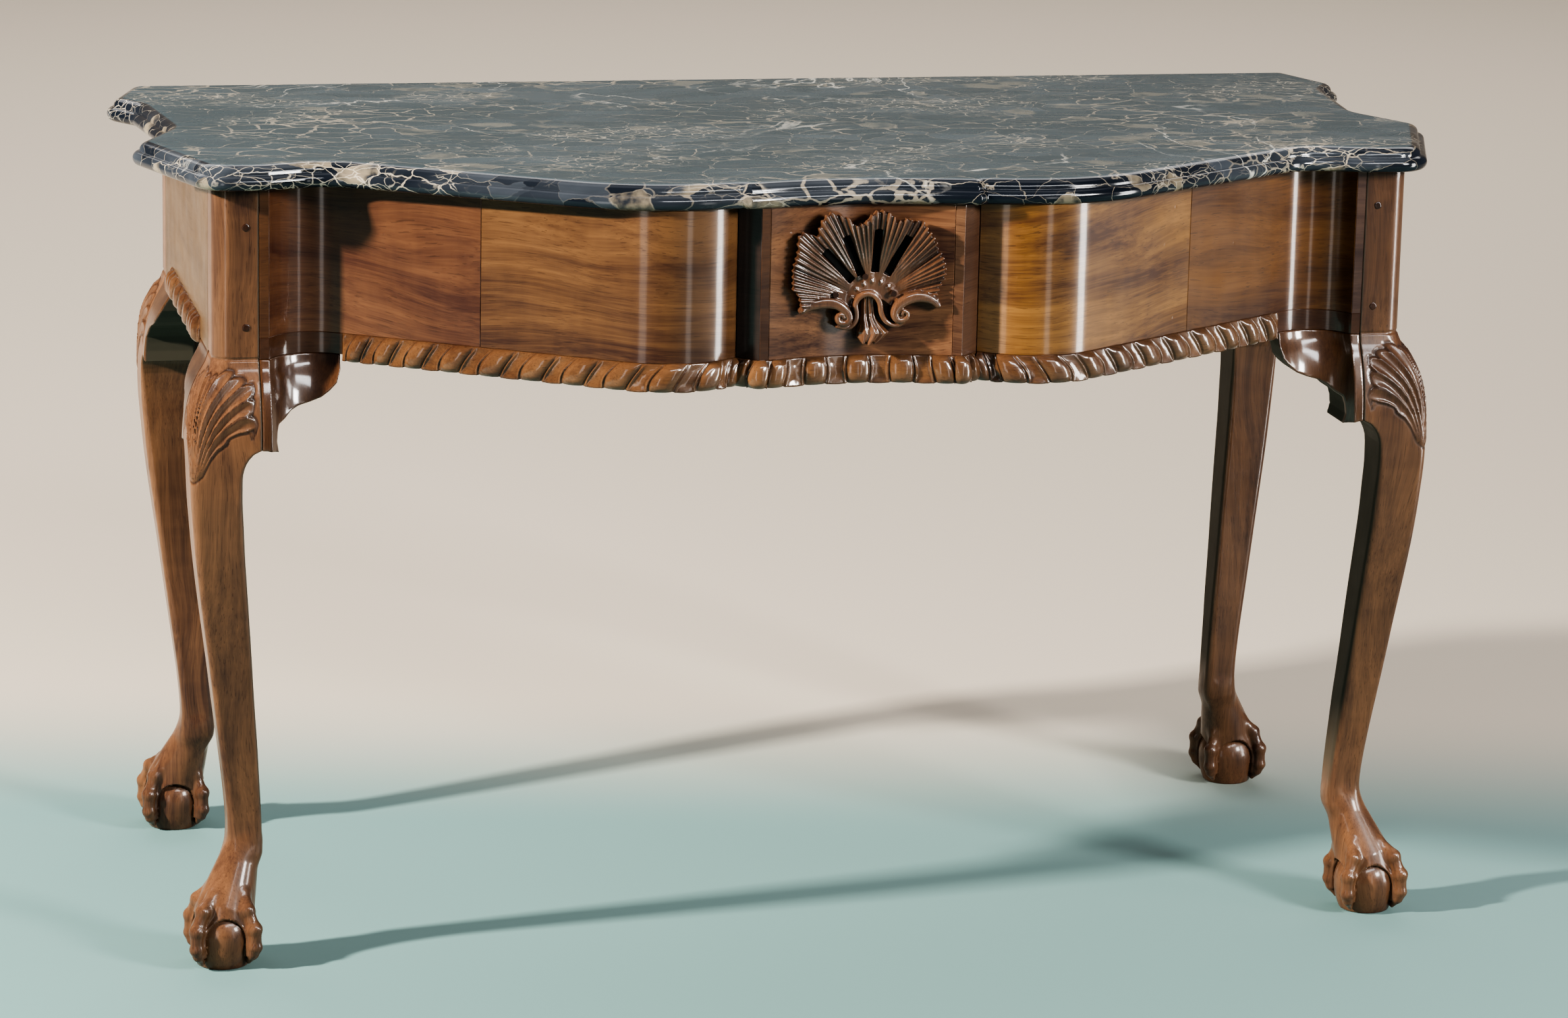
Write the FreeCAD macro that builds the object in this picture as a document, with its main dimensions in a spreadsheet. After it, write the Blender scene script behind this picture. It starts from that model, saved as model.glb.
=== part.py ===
# Serpentine pier table: a moulded marble slab on a block-front mahogany frame with
# cabriole legs and claw-and-ball feet.  Millimetres, +Z up, the viewer stands at -Y.
import FreeCAD, Part
import math
import os
from FreeCAD import Vector

doc = FreeCAD.newDocument("PierTable")
sheet = doc.addObject("Spreadsheet::Sheet", "Dims")

# ---------------------------------------------------------------- driving dimensions
DIMENSIONS = [
    ("table_height", 845, "floor to the polished face of the slab"),
    ("slab_thickness", 25, "marble slab"),
    ("rail_height", 177, "frame rails, slab down to the knees"),
    ("front_plane", -182.6, "front face of the front posts"),
    ("frame_depth", 520, "front posts' front face to back posts' back face"),
    ("half_width", 634, "centre line to the outer face of the side rails"),
    # legs
    ("post_size", 47, "square of the leg above the knee"),
    ("post_round", 18, "rounding of the post's outer corner"),
    ("foot_inset", 8, "ball centre inside the post's outer faces"),
    ("ball_radius", 34, "carved ball"),
    ("ball_height", 31, "ball centre above the floor"),
    ("talon_orbit", 42, "ball centre to the middle of a talon"),
    ("talon_radius", 10, "half the thickness of a talon"),
    ("knee_reach", 34, "ball centre out to the face of the knee"),
    ("knee_drop", 88, "fullest part of the knee below the rails"),
    ("arch_drop", 50, "shank below the knee block, from the knee's fullest part"),
    ("shank_height", 294, "middle of the shank above the floor"),
    ("ankle_height", 130, "narrowest part of the leg above the floor"),
    ("ankle_size", 36, "square of the ankle"),
    ("ankle_lean", -6, "ball centre out to the outer face of the ankle"),
    # plan of the front: half widths from the centre line, reaches forward of the posts
    ("block_half", 105, "half width of the centre block"),
    ("block_reach", 171, "block corners forward of the posts"),
    ("block_dish", 29, "tangent depth of the hollow in the block's face"),
    ("dish_radius", 295, "radius of that hollow"),
    ("return_side", 20, "splayed return of the block, across and back"),
    ("swell_half", 189, "tangent corner of the swell from the centre line"),
    ("swell_reach", 196, "tangent corner of the swell forward of the posts"),
    ("swell_radius", 86, "radius of the swell"),
    ("cove_run", 28, "tangent corner of the cove inside the corner strip"),
    ("cove_depth", 49, "tangent corner of the cove behind the posts' face"),
    ("cove_radius", 45, "radius of the cove"),
    ("corner_strip", 10, "flat strip between post and cove"),
    # front rail
    ("veneer", 3, "sawn mahogany veneer"),
    ("veneer_joint", 372, "joint in each long veneer from the centre line"),
    ("banding", 10, "upright banding at each edge of the block's face"),
    ("core_flat", 115, "back of the core forward of the posts, in the middle"),
    ("core_flat_half", 229, "half width of that flat back"),
    ("core_cove", 75, "back of the core behind the posts' face, at the cove"),
    ("core_cove_run", 82, "where that is inside the posts"),
    ("long_brick", 330, "joints of the core's top and bottom courses from the centre line"),
    ("short_brick", 150, "joints of the core's middle course from the centre line"),
    ("base_height", 22, "plain base strip and gadroon seat below the veneer"),
    # gadroon
    ("gadroon_height", 28, "carved edge, top to bottom"),
    ("gadroon_proud", 9, "carved edge in front of the veneer"),
    ("gadroon_gap", 87, "front gadroon's ends inside the posts"),
    ("side_gadroon_gap", 74, "side gadroon's ends from the posts"),
    # rails, tenons, braces, blocks
    ("rail_thickness", 22, "side and back rails"),
    ("tenon_thickness", 10, "all tenons"),
    ("tenon_length", 22, "all tenons"),
    ("tenon_shoulder", 10, "rail above and below a tenon"),
    ("front_tenon_height", 39, "tenons of the top and bottom courses"),
    ("front_tenon_setback", 14, "front tenons behind the posts' face"),
    ("joint_play", 0.2, "play of a tenon in its mortise"),
    ("brace_width", 45, "braces under the slab"),
    ("brace_height", 32, "braces under the slab"),
    ("brace_half", 215, "braces from the centre line"),
    ("brace_lap", 14, "lap of a brace in its rails"),
    ("glue_block_side", 40, "glue block along the side rail"),
    ("peg_radius", 4, "tenon pegs"),
    ("peg_length", 38, "tenon pegs"),
    ("peg_set", 13, "peg centre from the joint of post and rail"),
    # brackets
    ("bracket_lobe", 44, "radius of the bracket's lobe"),
    ("bracket_gap", 2, "between a bracket's end and the gadroon"),
    ("bracket_drop", 102, "bracket from the rail down to its spur"),
    ("bracket_spur", 20, "width of the bracket's spur"),
    ("bracket_thickness", 30, "brackets, front to back"),
    ("nail_radius", 1.6, "bracket nails"),
    ("nail_length", 62, "bracket nails"),
    # shell
    ("shell_radius", 78, "hinge to the rim of the shell"),
    ("shell_reach", 176, "face of the carved shell forward of the posts"),
    ("shell_offset", 3, "shell's centre right of the centre line"),
    ("shell_hinge", 82, "hinge below the slab"),
    ("shell_drop", 56, "leaf below the hinge"),
    ("pin_radius", 3, "dowels of the shell"),
    ("pin_length", 34, "dowels of the shell"),
    # plan of the slab
    ("slab_block_half", 118, "half width of the slab's block break"),
    ("slab_block_reach", 182, "corners of that break forward of the posts"),
    ("slab_block_dish", 29, "tangent depth of the hollow between them"),
    ("slab_dish_radius", 420, "radius of that hollow"),
    ("slab_swell_half", 231, "tangent corner of the slab's swell from the centre line"),
    ("slab_swell_reach", 194, "that corner forward of the posts"),
    ("slab_swell_radius", 200, "radius of the slab's swell"),
    ("slab_cove_run", 117, "tangent corner of the slab's cove inside the frame's side"),
    ("slab_cove_reach", 6, "that corner forward of the posts"),
    ("slab_corner_run", 49, "start of the slab's straight corner inside the frame's side"),
    ("slab_front_reach", 28, "straight corner forward of the posts"),
    ("slab_corner_reach", 10, "slab's corner beyond the frame's side"),
    ("slab_cove_radius", 60, "radius of the slab's front and side coves"),
    ("slab_lobe_reach", 68, "side lobes beyond the frame's side"),
    ("slab_lobe_radius", 28, "radius of the slab's side lobes and corners"),
    ("slab_lobe_back", 148, "front lobe behind the posts' face"),
    ("slab_waist_reach", 26, "slab's waist beyond the frame's side"),
    ("slab_waist_back", 240, "waist behind the posts' face"),
    ("slab_neck_reach", 43, "neck of the rear lobe beyond the frame's side"),
    ("slab_neck_front", 125, "that neck in front of the frame's back"),
    ("slab_tail_front", 83, "rear lobe in front of the frame's back"),
    ("slab_tail_reach", 60, "slab's back corner beyond the frame's side"),
    ("slab_roll", 15, "height of the lower roll of the slab's edge"),
    ("slab_bead_inset", 9.5, "upper bead behind the roll"),
    ("slab_edge_inset", 20, "flat top behind the roll"),
]
for row, (alias, value, meaning) in enumerate(DIMENSIONS, start=1):
    sheet.set("A%d" % row, meaning)
    sheet.set("B%d" % row, str(value))
    sheet.setAlias("B%d" % row, alias)
doc.recompute()


def v(alias):
    """Value of one driving dimension."""
    return float(sheet.get(alias))


rail_top = v("table_height") - v("slab_thickness")
rail_bottom = rail_top - v("rail_height")
veneer_bottom = rail_bottom + v("base_height")
post_inner = v("half_width") - v("post_size")
front_y = v("front_plane")
back_y = front_y + v("frame_depth")
strip_x = post_inner - v("corner_strip")
gadroon_end = post_inner - v("gadroon_gap")
knee_z = rail_bottom - v("knee_drop")
arch_z = knee_z - v("arch_drop")
RAIL_TOP = "Dims.table_height - Dims.slab_thickness"
RAIL_BOTTOM = RAIL_TOP + " - Dims.rail_height"


# ------------------------------------------------------------------- plan geometry
def parallel(corners, distance, closed=False, kept=()):
    """Corners (x, y, radius) of the path shifted to its left, kept edges staying put."""
    count = len(corners)
    edges = count if closed else count - 1
    lines = []
    for i in range(edges):
        x0, y0, _ = corners[i]
        x1, y1, _ = corners[(i + 1) % count]
        length = math.hypot(x1 - x0, y1 - y0)
        ux, uy = (x1 - x0) / length, (y1 - y0) / length
        shift = 0.0 if i in kept else distance
        lines.append((x0 - uy * shift, y0 + ux * shift, ux, uy))
    moved = []
    for i in range(count):
        radius = corners[i][2]
        if not closed and i == 0:
            moved.append((lines[0][0], lines[0][1], 0))
            continue
        if not closed and i == count - 1:
            x, y, ux, uy = lines[-1]
            span = (corners[i][0] - corners[i - 1][0]) * ux + (corners[i][1] - corners[i - 1][1]) * uy
            moved.append((x + ux * span, y + uy * span, 0))
            continue
        ax, ay, aux, auy = lines[i - 1]
        bx, by, bux, buy = lines[i % edges]
        turn = aux * buy - auy * bux
        along = ((bx - ax) * buy - (by - ay) * bux) / turn
        if radius:
            radius -= distance * math.copysign(1, turn)
        moved.append((ax + aux * along, ay + auy * along, radius))
    return moved


def rounded(corners, z=0.0, closed=False):
    """Lines and tangent arcs through the corners, in order."""
    count = len(corners)
    points = []
    for i, (x, y, radius) in enumerate(corners):
        here = Vector(x, y, z)
        if not radius or (not closed and i in (0, count - 1)):
            points.append((here, None, here))
            continue
        before = Vector(*corners[i - 1][:2], z) - here
        after = Vector(*corners[(i + 1) % count][:2], z) - here
        before.normalize()
        after.normalize()
        half = before.getAngle(after) / 2
        reach = radius / math.tan(half)
        bisector = (before + after).normalize()
        middle = here + bisector * (radius / math.sin(half) - radius)
        points.append((here + before * reach, middle, here + after * reach))
    curves = []
    for i, (entry, middle, leave) in enumerate(points):
        if middle:
            curves.append(Part.Arc(entry, middle, leave))
        if i + 1 < count or closed:
            following = points[(i + 1) % count][0]
            curves.append(Part.LineSegment(leave, following))
    return curves


def between(curves, left, right):
    """The part of a left-to-right path whose x lies from left to right."""
    kept = []
    for curve in curves:
        first, last = curve.FirstParameter, curve.LastParameter
        if curve.value(last).x <= left + 1e-9 or curve.value(first).x >= right - 1e-9:
            continue
        ends = []
        for limit, own in ((left, first), (right, last)):
            inside = curve.value(own).x >= left - 1e-9 and curve.value(own).x <= right + 1e-9
            low, high = first, last
            for _ in range(60):
                middle = (low + high) / 2
                if curve.value(middle).x < limit:
                    low = middle
                else:
                    high = middle
            ends.append(own if inside else low)
        if isinstance(curve, Part.LineSegment):
            kept.append(Part.LineSegment(curve.value(ends[0]), curve.value(ends[1])))
        else:
            middle = curve.value((ends[0] + ends[1]) / 2)
            kept.append(Part.Arc(curve.value(ends[0]), middle, curve.value(ends[1])))
    return kept


def ends(curves):
    """First and last point of a path."""
    return curves[0].value(curves[0].FirstParameter), curves[-1].value(curves[-1].LastParameter)


def band(front, back):
    """Closed outline between two left-to-right paths with the same x range."""
    front_left, front_right = ends(front)
    back_left, back_right = ends(back)
    sides = [Part.LineSegment(front_right, back_right), Part.LineSegment(back_left, front_left)]
    return front + back + sides


def polygon(points):
    """Closed outline of straight sides."""
    corners = [Vector(x, y, 0) for x, y in points]
    return [Part.LineSegment(a, b) for a, b in zip(corners, corners[1:] + corners[:1])]


def rectangle(x0, x1, y0, y1):
    """Closed outline of a rectangle with its sides along X and Y."""
    return polygon([(x0, y0), (x1, y0), (x1, y1), (x0, y1)])


def mirrored(right_half):
    """Corners of both halves, left to right, from the right half that starts at x = 0."""
    left = [(-x, y, radius) for x, y, radius in reversed(right_half) if x > 0]
    return left + right_half


front_corners = mirrored([
    (0, front_y - v("block_reach") + v("block_dish"), v("dish_radius")),
    (v("block_half"), front_y - v("block_reach"), 0),
    (v("block_half") + v("return_side"), front_y - v("block_reach") + v("return_side"), 0),
    (v("swell_half"), front_y - v("swell_reach"), v("swell_radius")),
    (strip_x - v("cove_run"), front_y + v("cove_depth"), v("cove_radius")),
    (strip_x, front_y, 0),
    (post_inner, front_y, 0),
])
core_back_corners = mirrored([
    (v("core_flat_half"), front_y - v("core_flat"), 0),
    (post_inner - v("core_cove_run"), front_y + v("core_cove"), 0),
    (post_inner, front_y + v("post_size"), 0),
])


def front_path(depth, left, right, z=0.0):
    """The front's plan line, shifted back by depth and trimmed to an x range."""
    return between(rounded(parallel(front_corners, depth), z), left, right)


# ------------------------------------------------------------------ document helpers
nodes = []


def origin_plane(body, role):
    """One of the body's own origin planes."""
    return next(item for item in body.Origin.OriginFeatures if item.Role == role)


def add_sketch(body, name, curves, role, offset_z=None):
    """Sketch of the curves on an origin plane, raised by an expression."""
    sketch = body.newObject("Sketcher::SketchObject", name)
    sketch.AttachmentSupport = [(origin_plane(body, role), "")]
    sketch.MapMode = "FlatFace"
    if offset_z:
        sketch.setExpression("AttachmentOffset.Base.z", offset_z)
    sketch.addGeometry(curves, False)
    return sketch


def add_pad(body, sketch, length, reverse=False):
    """Pad whose length follows an expression."""
    pad = body.newObject("PartDesign::Pad", sketch.Name + "Pad")
    pad.Profile = sketch
    pad.Reversed = reverse
    pad.setExpression("Length", length)
    sketch.Visibility = False
    return pad


def plan_body(label, curves, bottom, height):
    """Upright prism on a plan outline, from bottom up by height."""
    body = doc.addObject("PartDesign::Body", label)
    body.Label = label
    sketch = add_sketch(body, label + "_plan", curves, "XY_Plane", bottom)
    add_pad(body, sketch, height)
    return body


def add_tenon(body, label, x0, x1, y0, y1, bottom, height):
    """Tenon on an existing body, given by its plan rectangle."""
    sketch = add_sketch(body, label, rectangle(x0, x1, y0, y1), "XY_Plane", bottom)
    add_pad(body, sketch, height)


def keep(item, label=None):
    """Mark a document object as a finished piece of the table."""
    if label:
        item.Label = label
    nodes.append(item)
    return item


def solid_feature(label, shape):
    """Piece whose shape comes from Part's own functions."""
    feature = doc.addObject("Part::Feature", label)
    feature.Shape = shape
    feature.Placement = FreeCAD.Placement()
    return feature


def group(label, members):
    """Separate, alike solids that share one node."""
    compound = doc.addObject("Part::Compound", label)
    compound.Links = members
    return keep(compound, label)


def drilled(label, base, tools):
    """The base piece with the tools' shapes taken out."""
    fused = doc.addObject("Part::Compound", label + "_tools")
    fused.Links = tools
    cut = doc.addObject("Part::Cut", label)
    cut.Base = base
    cut.Tool = fused
    return cut


def box(label, x0, x1, y0, y1, z0, z1):
    """Upright box between two corners."""
    item = doc.addObject("Part::Box", label)
    item.Length = x1 - x0
    item.Width = y1 - y0
    item.Height = z1 - z0
    item.Placement.Base = Vector(x0, y0, z0)
    return item


def rod(label, radius, length, base, direction):
    """Round rod from a base point along a direction, radius and length by name."""
    item = doc.addObject("Part::Cylinder", label)
    item.setExpression("Radius", "Dims." + radius)
    item.setExpression("Height", "Dims." + length)
    item.Placement = FreeCAD.Placement(base, FreeCAD.Rotation(Vector(0, 0, 1), direction))
    return item


# -------------------------------------------------------------------------- legs
def leg_section(z, outer, inner, outer_round, edge_round):
    """Rounded square about the ball's centre, outward along +X and +Y."""
    corners = [(-inner, -inner, edge_round), (outer, -inner, edge_round),
               (outer, outer, outer_round), (-inner, outer, edge_round)]
    return Part.Wire([curve.toShape() for curve in rounded(corners, z, closed=True)])


def talon(angle):
    """One talon bent over the ball, from the ankle's flare down to its claw."""
    outward = Vector(math.cos(angle), math.sin(angle), 0)
    axis = Vector(-math.sin(angle), math.cos(angle), 0)
    centre = Vector(0, 0, v("ball_height"))
    disc = Part.Face(Part.Wire(Part.makeCircle(
        v("talon_radius"), centre + outward * v("talon_orbit"), Vector(0, 0, 1))))
    disc.rotate(centre, axis, 28)
    return disc.revolve(centre, axis, -95)


def leg_blank():
    """Post, cabriole shank and claw-and-ball foot about the ball's centre."""
    post_outer = v("foot_inset")
    post_in = v("post_size") - v("foot_inset")
    reach = v("knee_reach")
    lean = v("ankle_lean")
    ankle_in = v("ankle_size") - lean
    post = Part.Face(leg_section(rail_bottom, post_outer, post_in, v("post_round"), 1))
    post = post.extrude(Vector(0, 0, v("rail_height")))
    stations = [
        (rail_bottom, post_outer, post_in, v("post_round"), 1),
        ((rail_bottom + knee_z) / 2, 0.8 * reach, post_in, 12, 2),
        (knee_z, reach, post_in, 7, 3),
        ((knee_z + arch_z) / 2, reach, 0.7 * post_in, 5, 4),
        (arch_z, reach, 0.5 * post_in, 5, 5),
        ((arch_z + v("shank_height")) / 2, 0.68 * reach, 0.65 * post_in, 5, 5),
        (v("shank_height"), 0.31 * reach, 0.84 * post_in, 5, 5),
        ((v("shank_height") + v("ankle_height")) / 2, -1, ankle_in - 3, 6, 6),
        (v("ankle_height"), lean, ankle_in, 8, 8),
        (v("ball_height") + 2.1 * v("ball_radius"), lean + 5, ankle_in - 2, 9, 9),
    ]
    shank = Part.makeLoft([leg_section(*station) for station in stations], True, False)
    wide = 2 * v("post_size")
    for turned in (0, 90):
        side = Part.makeBox(2 * wide, wide, rail_bottom - arch_z, Vector(-wide, -post_in - wide, arch_z))
        side.rotate(Vector(0, 0, 0), Vector(0, 0, 1), -turned)
        shank = shank.cut(side)
    top = v("ball_height") + 2.1 * v("ball_radius")
    flare = Part.makeLoft([
        leg_section(top, lean + 5, ankle_in - 2, 9, 9),
        leg_section(v("ball_height") + 1.3 * v("ball_radius"), 20, 33, 10, 10),
        leg_section(v("ball_height") + 0.75 * v("ball_radius"), 25, 25, 12, 12),
    ], True, True)
    ball = Part.makeSphere(v("ball_radius"), Vector(0, 0, v("ball_height")))
    talons = [talon(math.radians(45 + 90 * i)) for i in range(4)]
    leg = post.fuse([shank, flare, ball] + talons)
    wide = 3 * v("talon_orbit")
    floor_cut = Part.makeBox(2 * wide, 2 * wide, wide, Vector(-wide, -wide, -wide))
    return leg.cut(floor_cut).removeSplitter()


leg_pattern = leg_blank()
foot_x = v("half_width") - v("foot_inset")
foot_y = {"front": front_y + v("foot_inset"), "back": back_y - v("foot_inset")}


def mortises(side, end):
    """Hollows in one post for the rails' tenons, with their play."""
    play = v("joint_play")
    deep = v("tenon_length") + play
    thick = v("tenon_thickness")
    shoulder = v("tenon_shoulder")
    side_x = v("half_width") - v("rail_thickness") / 2
    cuts = []
    side_y = front_y + v("post_size") if end == "front" else back_y - v("post_size")
    toward = -1 if end == "front" else 1
    y0, y1 = sorted((side_y, side_y + toward * deep))
    cuts.append((side_x - thick / 2 - play, side_x + thick / 2 + play, y0, y1,
                 rail_bottom + shoulder - play, rail_top - shoulder + play))
    if end == "front":
        y0 = front_y + v("front_tenon_setback") - play
        y1 = y0 + thick + 2 * play
        tall = v("front_tenon_height")
        spans = [(rail_bottom + shoulder, rail_bottom + shoulder + tall),
                 (rail_top - shoulder - tall, rail_top - shoulder)]
    else:
        y0 = back_y - v("rail_thickness") / 2 - thick / 2 - play
        y1 = y0 + thick + 2 * play
        spans = [(rail_bottom + shoulder, rail_top - shoulder)]
    for low, high in spans:
        cuts.append((post_inner, post_inner + deep, y0, y1, low - play, high + play))
    solids = []
    for x0, x1, y0, y1, z0, z1 in cuts:
        hollow = Part.makeBox(x1 - x0, y1 - y0, z1 - z0, Vector(x0, y0, z0))
        solids.append(hollow if side > 0 else hollow.mirror(Vector(0, 0, 0), Vector(1, 0, 0)))
    return solids


def peg_points(side):
    """Centres of the two pegs on one front post's face."""
    x = side * (post_inner + v("peg_set"))
    half = v("front_tenon_height") / 2
    low = rail_bottom + v("tenon_shoulder") + half
    high = rail_top - v("tenon_shoulder") - half
    return [Vector(x, front_y, z) for z in (low, high)]


for end in ("front", "back"):
    for side, word in ((-1, "left"), (1, "right")):
        shape = leg_pattern.copy()
        if side < 0:
            shape = shape.mirror(Vector(0, 0, 0), Vector(1, 0, 0))
        if end == "front":
            shape = shape.mirror(Vector(0, 0, 0), Vector(0, 1, 0))
        shape.translate(Vector(side * foot_x, foot_y[end], 0))
        shape = shape.cut(mortises(side, end))
        if end == "front":
            holes = [Part.makeCylinder(v("peg_radius"), v("peg_length"), point, Vector(0, 1, 0))
                     for point in peg_points(side)]
            shape = shape.cut(holes)
        keep(solid_feature("%s_%s_leg" % (end, word), shape))

# ----------------------------------------------------------------- nails and dowels
side_front = front_y + v("post_size")
side_back = back_y - v("post_size")
rail_inner = v("half_width") - v("rail_thickness")
front_reach = v("gadroon_gap") - v("bracket_gap")
side_reach = v("side_gadroon_gap") - v("bracket_gap")
nail_reach = side_reach / 2
side_nail_y = (side_front + nail_reach, side_back - nail_reach)
shell_x = v("shell_offset")
shell_face = front_y - v("shell_reach")
hinge_z = rail_top - v("shell_hinge")
pin_spots = [(shell_x, hinge_z + 10), (shell_x - 30, hinge_z - 8), (shell_x + 30, hinge_z - 8)]


def bracket_nails():
    """Every nail, one to a bracket, as (name, x, y)."""
    depth = v("bracket_thickness") / 2
    rows = []
    for side, word in ((-1, "left"), (1, "right")):
        x = post_inner - nail_reach
        face = front_path(depth + v("veneer"), x - 1, x + 1)
        rows.append(("%s_front_bracket" % word, side * x, ends(face)[0].y))
        for end, y in zip(("front", "back"), side_nail_y):
            rows.append(("%s_side_%s_bracket" % (word, end), side * (v("half_width") + rail_inner) / 2, y))
    return rows


nail_places = {name: (x, y) for name, x, y in bracket_nails()}


def nail(label, x, y):
    """Nail driven up through a bracket into the rail."""
    base = Vector(x, y, rail_bottom - v("bracket_lobe") + 8)
    return rod(label, "nail_radius", "nail_length", base, Vector(0, 0, 1))


def pin(label, x, z):
    """Dowel from inside the shell into the core."""
    return rod(label, "pin_radius", "pin_length", Vector(x, shell_face + 8, z), Vector(0, 1, 0))


# ------------------------------------------------------- front rail, built in courses
course_height = v("rail_height") / 3
COURSE = "Dims.rail_height / 3"
course_joints = {"bottom": v("long_brick"), "middle": v("short_brick"), "top": v("long_brick")}
for level, (name, joint) in enumerate(course_joints.items()):
    bottom = "%s + %d * %s" % (RAIL_BOTTOM, level, COURSE)
    cuts = [-post_inner, -joint, joint, post_inner]
    bricks = []
    for number, (left, right) in enumerate(zip(cuts, cuts[1:]), start=1):
        label = "front_core_%s_%d" % (name, number)
        front = front_path(v("veneer"), left, right)
        back = between(rounded(core_back_corners), left, right)
        brick = plan_body(label, band(front, back), bottom, COURSE)
        outer = abs(left) == post_inner or abs(right) == post_inner
        if outer and name != "middle":
            side = -1 if left == -post_inner else 1
            x0, x1 = sorted((side * (post_inner - 5), side * (post_inner + v("tenon_length"))))
            y0 = front_y + v("front_tenon_setback")
            low = RAIL_BOTTOM + " + Dims.tenon_shoulder"
            if name == "top":
                low = RAIL_TOP + " - Dims.tenon_shoulder - Dims.front_tenon_height"
            add_tenon(brick, label + "_tenon", x0, x1, y0, y0 + v("tenon_thickness"), low,
                      "Dims.front_tenon_height")
            point = peg_points(side)[0 if name == "bottom" else 1]
            tools = [rod(label + "_peg_hole", "peg_radius", "peg_length", point, Vector(0, 1, 0))]
            if name == "bottom":
                spot = nail_places["%s_front_bracket" % ("left" if side < 0 else "right")]
                tools.append(nail(label + "_nail_hole", *spot))
            brick = drilled(label + "_drilled", brick, tools)
        if name == "middle" and not outer:
            tools = [pin("core_pin_hole_%d" % i, x, z) for i, (x, z) in enumerate(pin_spots)]
            brick = drilled(label + "_drilled", brick, tools)
        bricks.append(brick)
    if name == "top":
        housed = []
        for brick, left, right in zip(bricks, cuts, cuts[1:]):
            tools = []
            for side in (-1, 1):
                x0 = side * v("brace_half") - v("brace_width") / 2
                x1 = x0 + v("brace_width")
                lap_y = front_y - v("core_flat") - v("brace_lap")
                if left < x1 and right > x0:
                    tools.append(box("brace_house", x0, x1, lap_y, front_y,
                                     rail_top - v("brace_height"), rail_top + 1))
            housed.append(drilled(brick.Name + "_housed", brick, tools) if tools else brick)
        bricks = housed
    group("front_core_%s_course" % name, bricks)

# --------------------------------------------------------------- veneers and strips
VENEER_HEIGHT = "Dims.rail_height - Dims.base_height"
VENEER_BOTTOM = RAIL_BOTTOM + " + Dims.base_height"
return_x = v("block_half") + v("return_side")
banding_x = v("block_half") - v("banding")
veneer_spans = [
    ("corner_veneer", strip_x, post_inner),
    ("outer_veneer", v("veneer_joint"), strip_x),
    ("inner_veneer", return_x, v("veneer_joint")),
    ("return_veneer", v("block_half"), return_x),
    ("block_banding", banding_x, v("block_half")),
]


def facing(label, left, right, bottom, height):
    """Thin facing on the front of the core, following its plan."""
    curves = band(front_path(0, left, right), front_path(v("veneer"), left, right))
    return plan_body(label, curves, bottom, height)


for name, near, far in veneer_spans:
    keep(facing("left_" + name, -far, -near, VENEER_BOTTOM, VENEER_HEIGHT))
    keep(facing("right_" + name, near, far, VENEER_BOTTOM, VENEER_HEIGHT))
block_panel = facing("block_veneer", -banding_x, banding_x, VENEER_BOTTOM, VENEER_HEIGHT)
keep(facing("left_base_strip", -post_inner, -gadroon_end, RAIL_BOTTOM, "Dims.base_height"))
keep(facing("right_base_strip", gadroon_end, post_inner, RAIL_BOTTOM, "Dims.base_height"))


# --------------------------------------------------------------------- gadroons
def gadroon_levels():
    """Height and projection of the carved edge, a full half round."""
    steps = 8
    for step in range(steps + 1):
        share = step / steps
        height = veneer_bottom - v("gadroon_height") * share
        proud = 0.5 + (v("gadroon_proud") - 0.5) * math.sin(math.pi * (0.06 + 0.82 * share))
        yield height, proud


def corner_x(nominal, depth):
    """Where the plan corner at a nominal x lies once the line is shifted by depth."""
    for before, after in zip(front_corners, parallel(front_corners, depth)):
        if abs(before[0] - nominal) < 1e-6:
            return after[0]
    return nominal


def mitred_path(depth, left, right, z):
    """The front's plan line at a depth, its ends cut on the mitre of their corners."""
    return front_path(depth, corner_x(left, depth), corner_x(right, depth), z)


def front_gadroon(label, left, right):
    """Length of carved edge on the front, mitred where it meets the block."""
    wires = []
    for z, proud in gadroon_levels():
        outline = band(mitred_path(-proud, left, right, z), mitred_path(v("veneer"), left, right, z))
        wires.append(Part.Wire(Part.__sortEdges__([curve.toShape() for curve in outline])))
    return keep(solid_feature(label, Part.makeLoft(wires, True, True)))


front_gadroon("left_front_gadroon", -gadroon_end, -return_x)
front_gadroon("centre_front_gadroon", -return_x, return_x)
front_gadroon("right_front_gadroon", return_x, gadroon_end)
for side, word in ((-1, "left"), (1, "right")):
    face_x = side * v("half_width")
    start = front_y + v("post_size") + v("side_gadroon_gap")
    run = v("frame_depth") - 2 * v("post_size") - 2 * v("side_gadroon_gap")
    points = [Vector(face_x, start, z) for z, _ in gadroon_levels()]
    rim = [Vector(face_x + side * proud, start, z) for z, proud in gadroon_levels()]
    outline = Part.makePolygon([points[0]] + rim + [points[-1], points[0]])
    bar = Part.Face(outline).extrude(Vector(0, run, 0))
    keep(solid_feature("%s_side_gadroon" % word, bar))

# ------------------------------------------------------------- side and back rails
RAIL_TENON = "Dims.rail_height - 2 * Dims.tenon_shoulder"
TENON_BOTTOM = RAIL_BOTTOM + " + Dims.tenon_shoulder"

for side, word in ((-1, "left"), (1, "right")):
    label = "%s_side_rail" % word
    x0, x1 = sorted((side * rail_inner, side * v("half_width")))
    rail = plan_body(label + "_board", rectangle(x0, x1, side_front, side_back), RAIL_BOTTOM,
                     "Dims.rail_height")
    middle = (x0 + x1) / 2
    half = v("tenon_thickness") / 2
    add_tenon(rail, label + "_tenon", middle - half, middle + half,
              side_front - v("tenon_length"), side_back + v("tenon_length"), TENON_BOTTOM, RAIL_TENON)
    tools = [nail("%s_side_nail_hole_%d" % (word, i), middle, y) for i, y in enumerate(side_nail_y)]
    keep(drilled(label, rail, tools), label)

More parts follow.
